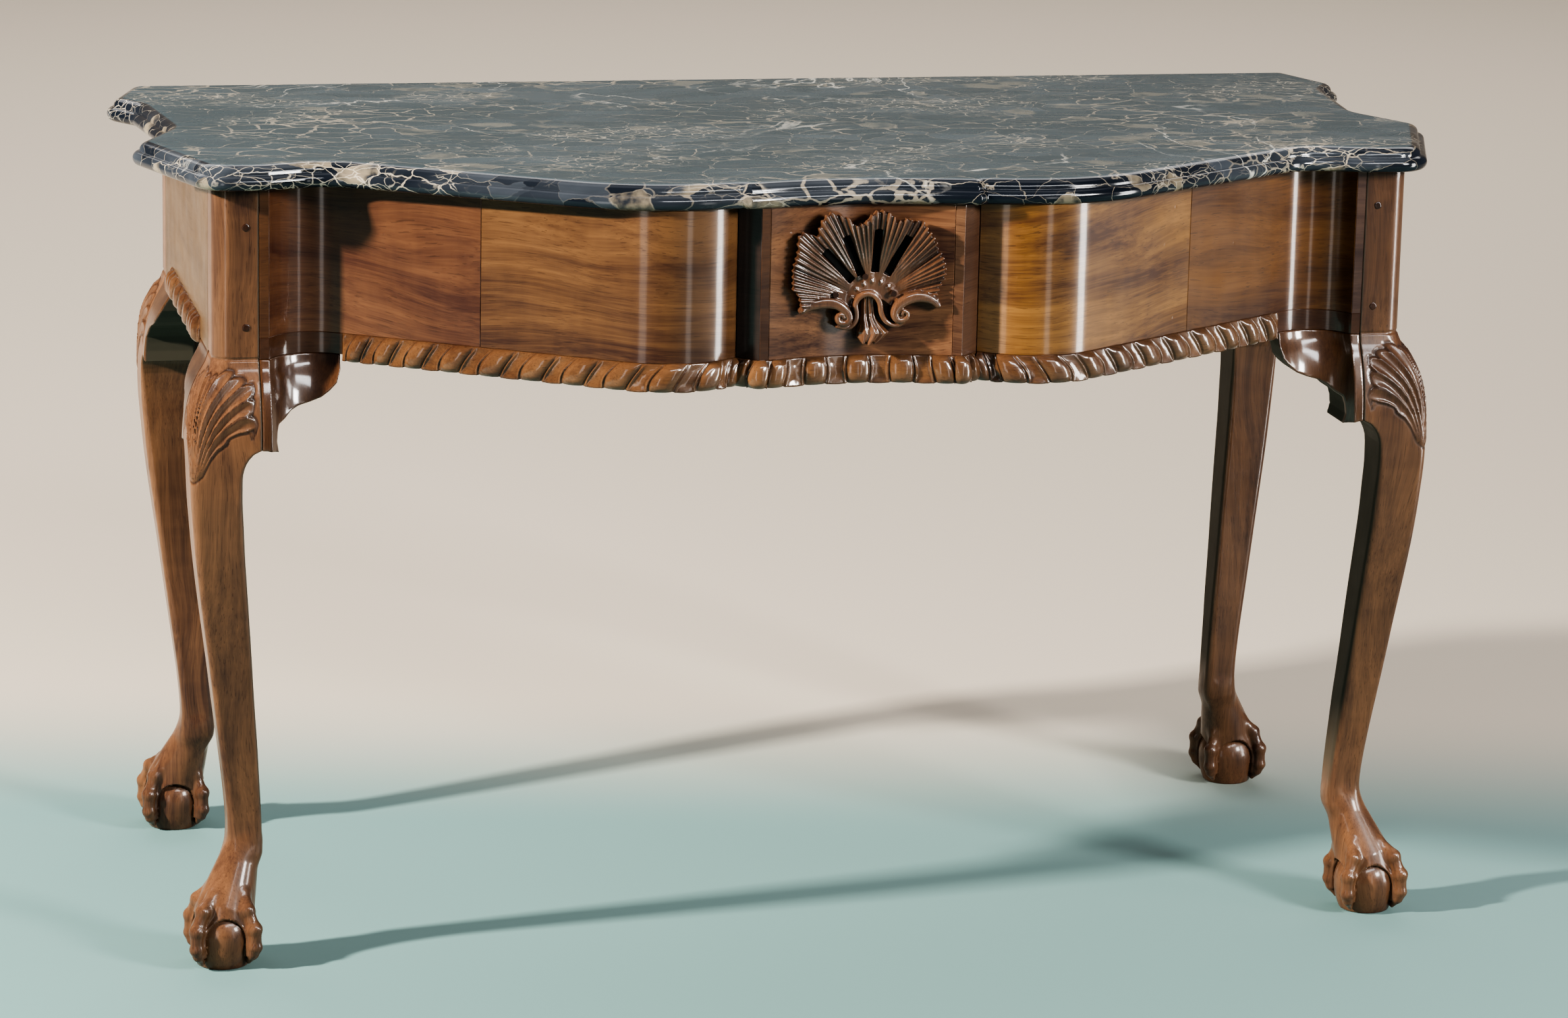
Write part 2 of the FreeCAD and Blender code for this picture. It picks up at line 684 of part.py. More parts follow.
back_rail = plan_body("back_rail_board", rectangle(-post_inner, post_inner, back_y - v("rail_thickness"), back_y),
                      RAIL_BOTTOM, "Dims.rail_height")
half = v("tenon_thickness") / 2
rail_mid = back_y - v("rail_thickness") / 2
add_tenon(back_rail, "back_rail_tenon", -post_inner - v("tenon_length"), post_inner + v("tenon_length"),
          rail_mid - half, rail_mid + half, TENON_BOTTOM, RAIL_TENON)
back_lap = back_y - v("rail_thickness") + v("brace_lap")
back_houses = []
for side, word in ((-1, "left"), (1, "right")):
    x0 = side * v("brace_half") - v("brace_width") / 2
    x1 = x0 + v("brace_width")
    back_houses.append(box("%s_back_house" % word, x0, x1, back_y - v("rail_thickness") - 1, back_lap,
                           rail_top - v("brace_height"), rail_top + 1))
    lap_y = front_y - v("core_flat") - v("brace_lap")
    brace = plan_body("%s_brace" % word, rectangle(x0, x1, lap_y, back_lap),
                      RAIL_TOP + " - Dims.brace_height", "Dims.brace_height")
    keep(brace)
keep(drilled("back_rail", back_rail, back_houses), "back_rail")

# glue blocks in the corners between posts and side rails
for end, y, toward in (("front", side_front, 1), ("back", side_back, -1)):
    for side, word in ((-1, "left"), (1, "right")):
        points = [(side * rail_inner, y), (side * rail_inner, y + toward * v("glue_block_side")),
                  (side * post_inner, y)]
        keep(plan_body("%s_%s_glue_block" % (end, word), polygon(points), TENON_BOTTOM, RAIL_TENON))


# --------------------------------------------------------------------- brackets
def bracket_outline(along, reach):
    """Elevation of a bracket: lobe, hollow and spur; along maps reach from the leg."""
    lobe = v("bracket_lobe")
    spur = v("bracket_spur")
    tip = rail_bottom - v("bracket_drop")
    turn = rail_bottom - 10
    corner = [
        (0, rail_bottom, 0),
        (reach, rail_bottom, 0),
        (reach, rail_bottom - lobe - 12, lobe * 0.9),
        (spur, turn - lobe - 8, 12),
        (spur, tip, 0),
        (0, tip + 7, 0),
    ]
    corners = [(along(u), w, radius) for u, w, radius in corner]
    return rounded(corners, 0, closed=True)


def bracket_block(label, outline_at):
    """Block whose face swells forward with the knee; outline_at(swell, z) is its plan."""
    wires = []
    for share in (0, 0.25, 0.5, 0.75, 1, v("bracket_drop") / v("knee_drop")):
        swell = (v("knee_reach") - v("foot_inset")) * math.sin(math.pi / 2 * min(1, share))
        outline = outline_at(swell, rail_bottom - v("knee_drop") * share)
        wires.append(Part.Wire(Part.__sortEdges__([curve.toShape() for curve in outline])))
    return solid_feature(label + "_block", Part.makeLoft(wires, True, True))


def finish_bracket(label, plan, elevation):
    """Bracket common to its block and its elevation, drilled for its nail."""
    common = doc.addObject("Part::Common", label + "_blank")
    common.Base = plan
    common.Tool = elevation
    tools = [nail(label + "_nail_hole", *nail_places[label])]
    keep(drilled(label, common, tools), label)


for side, word in ((-1, "left"), (1, "right")):
    label = "%s_front_bracket" % word
    near, far = post_inner - front_reach, post_inner
    left, right = (near, far) if side > 0 else (-far, -near)

    def outline_at(swell, z):
        """Plan of the front bracket, its face forward of the facing by the swell."""
        back = front_path(v("bracket_thickness"), left, right, z)
        return band(front_path(-swell, left, right, z), back)

    plan = bracket_block(label, outline_at)
    face = doc.addObject("PartDesign::Body", label + "_elevation")
    outline = bracket_outline(lambda u: side * (post_inner - u), front_reach)
    sketch = add_sketch(face, label + "_face", outline, "XZ_Plane")
    add_pad(face, sketch, "-Dims.front_plane + Dims.block_reach + Dims.knee_reach")
    finish_bracket(label, plan, face)
    for end, y, toward in (("front", side_front, 1), ("back", side_back, -1)):
        label = "%s_side_%s_bracket" % (word, end)
        y0, y1 = sorted((y, y + toward * side_reach))

        def side_outline_at(swell, z):
            """Plan of a side bracket, its face beyond the side rail by the swell."""
            inner = side * (v("half_width") - v("bracket_thickness"))
            outer = side * (v("half_width") + swell)
            corners = [Vector(inner, y0, z), Vector(outer, y0, z), Vector(outer, y1, z), Vector(inner, y1, z)]
            return [Part.LineSegment(a, b) for a, b in zip(corners, corners[1:] + corners[:1])]

        plan = bracket_block(label, side_outline_at)
        face = doc.addObject("PartDesign::Body", label + "_elevation")
        outline = bracket_outline(lambda u: y + toward * u, side_reach)
        sketch = add_sketch(face, label + "_face", outline, "YZ_Plane")
        add_pad(face, sketch, "Dims.half_width + Dims.knee_reach", reverse=side < 0)
        finish_bracket(label, plan, face)
group("bracket_nails", [nail(name + "_nail", x, y) for name, (x, y) in nail_places.items()])

# ------------------------------------------------------------------ shell and pins


def shell_shape():
    """Scallop with lobed rim, four radial slots, two scrolls and a leaf below."""
    radius = v("shell_radius")
    thick = v("shell_reach") - v("block_reach") + v("block_dish")

    def at(angle, distance):
        turn = math.radians(angle)
        return Vector(shell_x + distance * math.cos(turn), shell_face, hinge_z + distance * math.sin(turn))

    lobes = 9
    first, last = -12, 192
    step = (last - first) / lobes
    rim = []
    for lobe in range(lobes):
        start = first + lobe * step
        rim.append(Part.Arc(at(start, radius * 0.95), at(start + step / 2, radius),
                            at(start + step, radius * 0.95)).toShape())
    closing = Part.makePolygon([at(last, radius * 0.95), at(220, 30), at(270, 12),
                                at(-40, 30), at(first, radius * 0.95)])
    outline = Part.Wire(rim + closing.Edges)
    toward = Vector(0, thick, 0)
    body = Part.Face(outline).extrude(toward)
    leaf = Part.makePolygon([at(200, 14), at(258, v("shell_drop") * 0.9), at(270, v("shell_drop")),
                             at(282, v("shell_drop") * 0.9), at(-20, 14), at(200, 14)])
    solids = [Part.Face(leaf).extrude(toward)]
    for angle in (228, 312):
        solids.append(Part.makeCylinder(11, thick, at(angle, 33), Vector(0, 1, 0)))
    body = body.fuse(solids)
    slots = []
    for angle in (42, 70, 110, 138):
        sweep = Part.makePolygon([at(angle - 4, 24), at(angle - 3.5, 56), at(angle + 3.5, 56),
                                  at(angle + 4, 24), at(angle - 4, 24)])
        slots.append(Part.Face(sweep).extrude(toward))
    left, right = shell_x - radius - 1, shell_x + radius + 1
    face = [Part.LineSegment(Vector(left, shell_face, 0), Vector(right, shell_face, 0))]
    plan = band(face, front_path(0, left, right))
    seat = Part.Face(Part.Wire(Part.__sortEdges__([curve.toShape() for curve in plan])))
    seat = seat.extrude(Vector(0, 0, rail_top))
    return body.cut(slots).common(seat).removeSplitter()


shell_blank = solid_feature("shell_blank", shell_shape())
keep(drilled("shell_ornament", shell_blank,
             [pin("shell_pin_hole_%d" % i, x, z) for i, (x, z) in enumerate(pin_spots)]), "shell_ornament")
keep(drilled("block_veneer_drilled", block_panel,
             [pin("veneer_pin_hole_%d" % i, x, z) for i, (x, z) in enumerate(pin_spots)]), "block_veneer_panel")
group("shell_pins", [pin("shell_pin_%d" % i, x, z) for i, (x, z) in enumerate(pin_spots)])
group("front_tenon_pegs", [rod("peg_%s_%d" % (word, i), "peg_radius", "peg_length", point, Vector(0, 1, 0))
                           for side, word in ((-1, "left"), (1, "right"))
                           for i, point in enumerate(peg_points(side))])

# -------------------------------------------------------------------- marble slab
side_x = v("half_width")
lobe = v("slab_lobe_radius")
cove = v("slab_cove_radius")
slab_half = mirrored([
    (0, front_y - v("slab_block_reach") + v("slab_block_dish"), v("slab_dish_radius")),
    (v("slab_block_half"), front_y - v("slab_block_reach"), 0),
    (v("slab_block_half") + 8, front_y - v("slab_block_reach") + 5, 0),
    (v("slab_swell_half"), front_y - v("slab_swell_reach"), v("slab_swell_radius")),
    (side_x - v("slab_cove_run"), front_y - v("slab_cove_reach"), cove),
    (side_x - v("slab_corner_run"), front_y - v("slab_front_reach"), cove),
    (side_x + v("slab_corner_reach"), front_y - v("slab_front_reach"), 0.85 * lobe),
    (side_x + v("slab_lobe_reach"), front_y + v("slab_lobe_back"), lobe),
    (side_x + v("slab_waist_reach"), front_y + v("slab_waist_back"), cove),
    (side_x + v("slab_neck_reach"), back_y - v("slab_neck_front"), 0.7 * cove),
    (side_x + v("slab_lobe_reach"), back_y - v("slab_tail_front"), lobe),
    (side_x + v("slab_tail_reach"), back_y, 0),
])


def slab_levels():
    """Height and inset of the moulded edge: a full lower roll, a fillet and a bead."""
    roll = v("slab_roll")
    for step in range(8):
        turn = math.radians(-85 + 170 * step / 7)
        height = roll / 2 * (1 + math.sin(turn) / math.sin(math.radians(85)))
        yield height, roll / 2 * (1 - math.cos(turn))
    yield roll + 0.5, v("slab_bead_inset")
    rise = v("slab_thickness") - roll - 2.5
    run = v("slab_edge_inset") - v("slab_bead_inset")
    for step in range(6):
        turn = math.radians(18 * step)
        yield roll + 2.5 + rise * math.sin(turn), v("slab_bead_inset") + run * (1 - math.cos(turn))


back_edge = len(slab_half) - 1
slab_wires = []
for height, inset in slab_levels():
    corners = parallel(slab_half, inset, closed=True, kept=(back_edge,))
    curves = rounded(corners, rail_top + height, closed=True)
    slab_wires.append(Part.Wire([curve.toShape() for curve in curves]))
keep(solid_feature("marble_top", Part.makeLoft(slab_wires, True, True)))

# ------------------------------------------------------------------ check and export
doc.recompute()
for item in doc.Objects:
    broken = [word for word in item.State if word in ("Invalid", "Error")]
    if broken:
        raise RuntimeError("%s is %s" % (item.Label, broken))
os.makedirs("parts", exist_ok=True)
for node in nodes:
    shape = node.Shape
    if shape.isNull() or not shape.isValid():
        raise RuntimeError("%s has no valid shape" % node.Label)
    shape.exportStep("parts/%s.step" % node.Label)
    print("%-28s solids %2d  volume %12.1f" % (node.Label, len(shape.Solids), shape.Volume))
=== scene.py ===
import bmesh
import bpy
import math
import numpy as np
from mathutils import Matrix, Vector


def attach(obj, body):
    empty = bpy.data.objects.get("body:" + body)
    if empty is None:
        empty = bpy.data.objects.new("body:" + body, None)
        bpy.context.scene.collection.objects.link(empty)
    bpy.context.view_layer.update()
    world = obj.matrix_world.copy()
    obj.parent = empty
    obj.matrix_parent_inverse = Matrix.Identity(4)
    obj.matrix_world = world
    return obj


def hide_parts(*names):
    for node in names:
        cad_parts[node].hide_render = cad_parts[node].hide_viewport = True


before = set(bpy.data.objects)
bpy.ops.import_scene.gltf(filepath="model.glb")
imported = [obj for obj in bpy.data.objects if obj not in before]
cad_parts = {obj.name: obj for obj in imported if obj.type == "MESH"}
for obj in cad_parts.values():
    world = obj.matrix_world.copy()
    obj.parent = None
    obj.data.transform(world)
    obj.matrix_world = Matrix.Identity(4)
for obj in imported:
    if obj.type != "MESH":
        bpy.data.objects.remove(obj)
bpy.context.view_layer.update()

# ---------------------------------------------------------------- studio
# One sheet of matt paper, blue-green under the table and cream further back, with a
# painted shade darkening it in front of the table where the lamps' light would fall off.
# A small lamp on the left throws the long shadows; wide lamps and upright strips round the
# other sides light the front, or only show as bands of light in its polish.


class Wire:
    """Output of a node that plain arithmetic can be done with."""

    def __init__(self, socket):
        self.socket, self.tree = socket, socket.id_data

    def __add__(self, other):
        return reckon("ADD", self, other)

    def __sub__(self, other):
        return reckon("SUBTRACT", self, other)

    def __rsub__(self, other):
        return reckon("SUBTRACT", other, self)

    def __mul__(self, other):
        return reckon("MULTIPLY", self, other)

    def __truediv__(self, other):
        return reckon("DIVIDE", self, other)

    def __pow__(self, other):
        return reckon("POWER", self, other)


def plug(sockets, values):
    """Feed sockets with wires or fixed values."""
    for place, value in values.items():
        socket = sockets[place]
        if isinstance(value, Wire):
            value.tree.links.new(value.socket, socket)
        else:
            socket.default_value = (*value, 1) if socket.type == "RGBA" else value


def new_node(tree, kind, inputs, **settings):
    """Node with its own settings made before its inputs are fed."""
    node = tree.nodes.new(kind)
    for word, value in settings.items():
        setattr(node, word, value)
    plug(node.inputs, dict(inputs))
    return node


def grown(tree, kind, output, inputs=(), **settings):
    """One output of a new node."""
    return Wire(new_node(tree, kind, inputs, **settings).outputs[output])


def reckon(operation, *terms, clamp=False):
    """Arithmetic node; at least one of its terms is a wire."""
    tree = next(term.tree for term in terms if isinstance(term, Wire))
    return grown(tree, "ShaderNodeMath", "Value", enumerate(terms), operation=operation, use_clamp=clamp)


def between(value, low, high, ease="SMOOTHSTEP"):
    """0 at low, 1 at high."""
    inputs = {"Value": value, "From Min": low, "From Max": high}
    return grown(value.tree, "ShaderNodeMapRange", "Result", inputs, interpolation_type=ease)


def tinted(mask, under, over):
    """Second colour laid over the first through a mask."""
    inputs = {"Factor": mask, "A": under, "B": over}
    return grown(mask.tree, "ShaderNodeMix", "Result", inputs, data_type="RGBA")


def noise(place, scale, detail=2.0, distortion=0.0, roughness=0.5, output="Fac"):
    """Cloudy noise at a place."""
    return grown(place.tree, "ShaderNodeTexNoise", output, {
        "Vector": place, "Scale": scale, "Detail": detail, "Distortion": distortion, "Roughness": roughness})


def bumped(height, **inputs):
    """Normal of a surface raised by a height."""
    return grown(height.tree, "ShaderNodeBump", "Normal", {"Height": height, **inputs})


def new_material(name):
    """Material, its node tree and the inputs of its shader."""
    material = bpy.data.materials.new(name)
    material.use_nodes = True
    return material, material.node_tree, material.node_tree.nodes["Principled BSDF"].inputs


paper, paper_tree, paper_shader = new_material("pale paper")
paper_place = grown(paper_tree, "ShaderNodeTexCoord", "Object")
paper_depth = grown(paper_tree, "ShaderNodeSeparateXYZ", "Y", {"Vector": paper_place})
# The first tint is a painted shade: the paper darkens in front of the table, standing in for light falling off.
front_painted_shade_tint, floor_tint, wall_tint = (0.100, 0.165, 0.172), (0.165, 0.272, 0.260), (0.52, 0.455, 0.375)
paper_away = grown(paper_tree, "ShaderNodeVectorMath", "Value", {0: paper_place, 1: (0.2215, 0.975, 0)},
                   operation="DOT_PRODUCT")
plug(paper_shader, {
    "Base Color": tinted(between(paper_away, 0.20, 0.80),
                         tinted(between(paper_depth, -2.4, -1.3, "LINEAR"), front_painted_shade_tint, floor_tint), wall_tint),
    "Roughness": 0.9,
    "Normal": bumped(noise(paper_place, 90), Strength=0.04)})

sweep_turn, sweep_back, sweep_top, sweep_half = 1.6, 12.0, 7.0, 14.0
sweep_line = [(-sweep_back, 0.0)]
for step in range(17):
    angle = math.radians(90 * step / 16)
    sweep_line.append((sweep_back - sweep_turn * (1 - math.sin(angle)), sweep_turn * (1 - math.cos(angle))))
sweep_line.append((sweep_back, sweep_top))
sweep_points = [(x, y, z) for y, z in sweep_line for x in (-sweep_half, sweep_half)]
sweep_faces = [(2 * i, 2 * i + 1, 2 * i + 3, 2 * i + 2) for i in range(len(sweep_line) - 1)]
sweep_mesh = bpy.data.meshes.new("paper_sweep")
sweep_mesh.from_pydata(sweep_points, [], sweep_faces)
sweep_mesh.shade_smooth()
sweep_mesh.materials.append(paper)
sweep = bpy.data.objects.new("paper_sweep", sweep_mesh)
bpy.context.scene.collection.objects.link(sweep)

room = bpy.data.worlds.new("studio room")
bpy.context.scene.world = room
room.use_nodes = True
plug(room.node_tree.nodes["Background"].inputs, {"Color": (0.76, 0.76, 0.95), "Strength": 0.12})


def studio_lamp(name, place, aim, width, height, power, colour, lights=True, mirrored=True):
    """Rectangular lamp facing a point; some only light the table, some only show in its polish."""
    data = bpy.data.lights.new(name, "AREA")
    data.shape = "RECTANGLE"
    data.size, data.size_y = width, height
    data.energy = power
    data.color = colour
    lamp = bpy.data.objects.new(name, data)
    lamp.location = place
    lamp.visible_camera = False
    lamp.visible_diffuse = lights
    lamp.visible_glossy = mirrored
    lamp.rotation_euler = (Vector(aim) - Vector(place)).to_track_quat("-Z", "Y").to_euler()
    bpy.context.scene.collection.objects.link(lamp)


warm_white, white, cool_white = (1.0, 0.95, 0.88), (1.0, 0.98, 0.95), (0.97, 0.98, 1.0)
studio_lamp("key_lamp", (-4.3, -0.95, 2.6), (0, 0, 0.7), 0.25, 0.25, 600, warm_white, mirrored=False)
studio_lamp("right_lamp", (2.9, -3.4, 2.3), (0, -0.2, 0.7), 1.0, 1.0, 225, white)
studio_lamp("left_strip", (-1.74, -2.37, 0.7), (0, -0.3, 0.7), 0.45, 1.4, 7, white, lights=False)
studio_lamp("middle_strip", (0.95, -2.7, 0.7), (0, -0.2, 0.7), 0.32, 1.4, 5, white, lights=False)
studio_lamp("right_strip", (2.28, -1.09, 0.7), (0.2, -0.37, 0.7), 0.42, 1.4, 50, white, lights=False)
studio_lamp("front_box", (0.9, -2.8, 3.0), (0, -0.3, 0.8), 2.4, 0.45, 80, cool_white, lights=False)
studio_lamp("top_box", (0.4, 0.9, 4.9), (0.2, 0.2, 0), 4.5, 2.4, 30, cool_white)
studio_lamp("far_wash", (0.8, 5.4, 4.6), (0.8, 5.6, 0), 9.0, 4.6, 300, white)
bpy.context.scene.view_settings.look = "AgX - High Contrast"

view_yaw, view_pitch, view_roll = (math.radians(angle) for angle in (12.817, 13.281, 1.239))
ahead = Vector((math.sin(view_yaw) * math.cos(view_pitch), math.cos(view_yaw) * math.cos(view_pitch),
                -math.sin(view_pitch)))
level = Vector((math.cos(view_yaw), -math.sin(view_yaw), 0))
upward = level.cross(ahead)
across = level * math.cos(view_roll) + upward * math.sin(view_roll)
above = upward * math.cos(view_roll) - level * math.sin(view_roll)
camera_data = bpy.data.cameras.new("camera")
camera_data.sensor_width = 36
camera_data.lens = 116.82
camera = bpy.data.objects.new("camera", camera_data)
stand = Matrix((across, above, -ahead)).transposed().to_4x4()
stand.translation = (-1.1872, -5.2362, 1.6935)
camera.matrix_world = stand
bpy.context.scene.collection.objects.link(camera)
bpy.context.scene.camera = camera

# ---------------------------------------------------------------- polished mahogany
# Dense mahogany, french polished: red-brown with golden lights, fine dark pores
# along the grain and dark wax in the hollows, whose darkening also paints in the shade of
# creases, slots and undercuts; bare and grey where no one polished it.


def stretched(place, scale):
    """A place with each axis scaled."""
    return grown(place.tree, "ShaderNodeMapping", "Vector", {"Vector": place, "Scale": scale})


def group_inputs(tree):
    """Named inputs of a node group."""
    return {socket.name: Wire(socket) for socket in tree.nodes.new("NodeGroupInput").outputs}


def mahogany_grain():
    """Node group: colour, gloss and relief of mahogany, its grain along the given vector's Z."""
    group = bpy.data.node_groups.new("mahogany grain", "ShaderNodeTree")
    for name, kind, value in (
        ("Vector", "NodeSocketVector", (0, 0, 0)),
        ("Light Wood", "NodeSocketColor", (0.30, 0.10, 0.02, 1)),
        ("Dark Wood", "NodeSocketColor", (0.10, 0.022, 0.008, 1)),
        ("Figure", "NodeSocketFloat", 0.5),
        ("Hollow", "NodeSocketFloat", 0.0),
    ):
        group.interface.new_socket(name=name, in_out="INPUT", socket_type=kind).default_value = value
    for name, kind in (("Color", "Color"), ("Roughness", "Float"), ("Height", "Float")):
        group.interface.new_socket(name=name, in_out="OUTPUT", socket_type="NodeSocket" + kind)
    given = group_inputs(group)
    place, hollow = given["Vector"], given["Hollow"]
    drift = noise(stretched(place, (1, 1, 0.45)), 5, 2, output="Color")
    swirl = grown(group, "ShaderNodeVectorMath", "Vector", {0: drift, 1: (0.11, 0.11, 0.0), 2: place},
                  operation="MULTIPLY_ADD")
    band = noise(stretched(swirl, (1, 1, 0.10)), 30, 4, 0.2, 0.6)
    streak = noise(stretched(swirl, (1, 1, 0.03)), 190, 3)
    fibre = noise(stretched(swirl, (1, 1, 0.012)), 700, 2)
    curl = noise(stretched(place, (0.3, 0.3, 1)), 55, 3)
    cloud = noise(stretched(place, (1, 1, 0.5)), 4, 2)
    blend = ((band - 0.5) * 2.5 + (streak - 0.5) * 1.1) * given["Figure"] + 0.5
    blend = blend + (cloud - 0.5) * 1.5 + (curl - 0.5) * 0.35
    blend = reckon("ADD", blend, (fibre - 0.5) * 0.6, clamp=True)
    pores = reckon("GREATER_THAN", noise(stretched(swirl, (1, 1, 0.03)), 900, 1), 0.66)
    # Hollow darkens towards the wax colour: partly wax, partly painted shade in creases and recesses.
    dark = reckon("ADD", pores * 0.35, hollow * 0.85, clamp=True)
    wax_and_painted_shade = (0.020, 0.008, 0.005)
    plug(group.nodes.new("NodeGroupOutput").inputs, {
        "Color": tinted(dark, tinted(blend, given["Dark Wood"], given["Light Wood"]), wax_and_painted_shade),
        "Roughness": reckon("ADD", noise(place, 25, 4) * 0.24 + 0.22, hollow * 0.30, clamp=True),
        "Height": noise(stretched(place, (1, 1, 0.6)), 30, 3) * 1.2 - pores * 0.25})
    return group


grain_group = mahogany_grain()


def mahogany(name, light, dark, figure, turn=(0, 0, 0), slide=(0, 0, 0), hollow=False, raw=False, dents=False,
             laid=False, coat=0.55):
    """Polished mahogany; turn swings the grain from upright, slide picks another part of the log."""
    material, tree, shader = new_material(name)

    def marked(word, output="Fac"):
        return grown(tree, "ShaderNodeAttribute", output, attribute_name=word)

    place = marked("laid", "Vector") if laid else grown(tree, "ShaderNodeTexCoord", "Object")
    place = grown(tree, "ShaderNodeMapping", "Vector", {
        "Vector": place, "Rotation": [math.radians(angle) for angle in turn], "Location": slide})
    grain = new_node(tree, "ShaderNodeGroup", {
        "Vector": place, "Light Wood": light, "Dark Wood": dark, "Figure": figure,
        "Hollow": marked("hollow") if hollow else 0.0}, node_tree=grain_group).outputs
    colour, roughness, height = (Wire(grain[word]) for word in ("Color", "Roughness", "Height"))
    if dents:
        knocks = grown(tree, "ShaderNodeTexVoronoi", "Distance", {"Vector": place, "Scale": 26})
        height = between(knocks, 0.02, 0.055, "LINEAR") * 1.6 + height
    polish = coat
    if raw:
        bare, grey = marked("raw"), (0.062, 0.055, 0.040)
        colour = tinted(bare, colour, grey)
        roughness = bare * 0.4 + roughness
        polish = grown(tree, "ShaderNodeMapRange", "Result", {"Value": bare, "To Min": coat, "To Max": 0.0})
    plug(shader, {"Base Color": colour, "Roughness": roughness, "Specular IOR Level": 0.2,
                  "Coat Weight": polish, "Coat Roughness": 0.12, "Coat IOR": 1.5,
                  "Normal": bumped(height, Strength=0.25, Distance=0.0006)})
    return material


# ---------------------------------------------------------------- legs
# Each leg is one squared mahogany timber: a plain post at the top, then a knee
# carved with a fluted fan on its outer ridge, a cabriole shank and a foot of
# four knuckled talons on a ball.  Its sizes are millimetres about the ball's centre.
POST_FACE, POST_BACK = 8.0, 39.0
LEG_TOP, KNEE_TOP, FAN_LOW, FOOT_TOP = 820.0, 643.0, 508.0, 150.5
BALL_SIZE, BALL_UP = 34.0, 31.0
TALON_ARCH, TALON_SPRING = 22.5, 33.0
FAN_HINGE, FAN_FOOT = 505.0, 20.0
fan_rim = [(0, 121), (3.8, 124), (7.5, 128), (11, 128), (13.6, 125), (19.2, 123.5), (22.4, 123.5), (26.2, 119),
           (28.4, 115), (32.4, 106.5), (34.2, 103), (41, 97), (45, 88.5), (60, 70)]
fan_ridges = [0, 4, 12.5, 20.3, 28.2, 34.6, 45]
fan_bend = [(0, 0.57), (0.5, 0.57), (0.65, 0.62), (0.75, 0.70), (0.85, 0.82), (1, 1)]
outer_profile = [(643, 8), (634, 11), (620, 18.7), (607, 24.6), (593, 29), (579, 31.8), (565, 33.4),
                 (546, 34.3), (522, 34.2), (502, 33.6), (473, 31.5), (444, 29), (414, 25.8), (384, 22),
                 (354, 18), (324, 14), (294, 10.3), (263, 6.4), (233, 2.5), (202, -1.4), (175, -4.4),
                 (145, -6.6), (125, -6.4), (100, -4)]
inner_profile = [(520, 19), (502, 19), (473, 20.5), (444, 21.9), (414, 24), (384, 26.2), (354, 28.4),
                 (324, 30.5), (294, 32.5), (263, 34.8), (233, 37.2), (202, 39.2), (175, 41), (145, 42.6),
                 (125, 43), (100, 42)]
inner_arch = [(520, 19), (528, 19.4), (534, 20.8), (539, 22.6), (544, 25.6), (549.5, 30.6), (552.3, 36.6),
              (552.6, POST_BACK)]
outer_rounding = [(643, 18), (620, 16), (600, 13), (580, 11), (540, 9), (480, 7.5), (400, 6), (250, 6),
                  (145, 9), (100, 12)]
inner_rounding = [(643, 1.2), (545, 2), (500, 5), (300, 6), (145, 8), (100, 9)]


def eased(heights, profile):
    """Smooth curve through (height, value) pairs."""
    knots = np.array(sorted(profile), float)
    x, y = knots[:, 0], knots[:, 1]
    slope = np.gradient(y, x)
    h = np.clip(heights, x[0], x[-1])
    i = np.clip(np.searchsorted(x, h) - 1, 0, len(x) - 2)
    span = x[i + 1] - x[i]
    t = (h - x[i]) / span
    return ((2 * t ** 3 - 3 * t ** 2 + 1) * y[i] + (t ** 3 - 2 * t ** 2 + t) * span * slope[i]
            + (3 * t ** 2 - 2 * t ** 3) * y[i + 1] + (t ** 3 - t ** 2) * span * slope[i + 1])


def smooth_step(low, high, value):
    """0 below low, 1 above high, eased between."""
    t = np.clip((value - low) / (high - low), 0, 1)
    return t * t * (3 - 2 * t)


def melt(a, b, k):
    """Union of two solids' distances with a fillet of about k."""
    h = np.clip(0.5 + 0.5 * (b - a) / k, 0, 1)
    return b + (a - b) * h - k * h * (1 - h)


def strand(x, y, z, first, last, first_radius, last_radius):
    """Distance to a tapering round strand between two points."""
    a, b = np.array(first, float), np.array(last, float)
    line = b - a
    t = np.clip(((x - a[0]) * line[0] + (y - a[1]) * line[1] + (z - a[2]) * line[2]) / line.dot(line), 0, 1)
    gap = np.sqrt((x - a[0] - t * line[0]) ** 2 + (y - a[1] - t * line[1]) ** 2 + (z - a[2] - t * line[2]) ** 2)
    return gap - (first_radius + (last_radius - first_radius) * t)


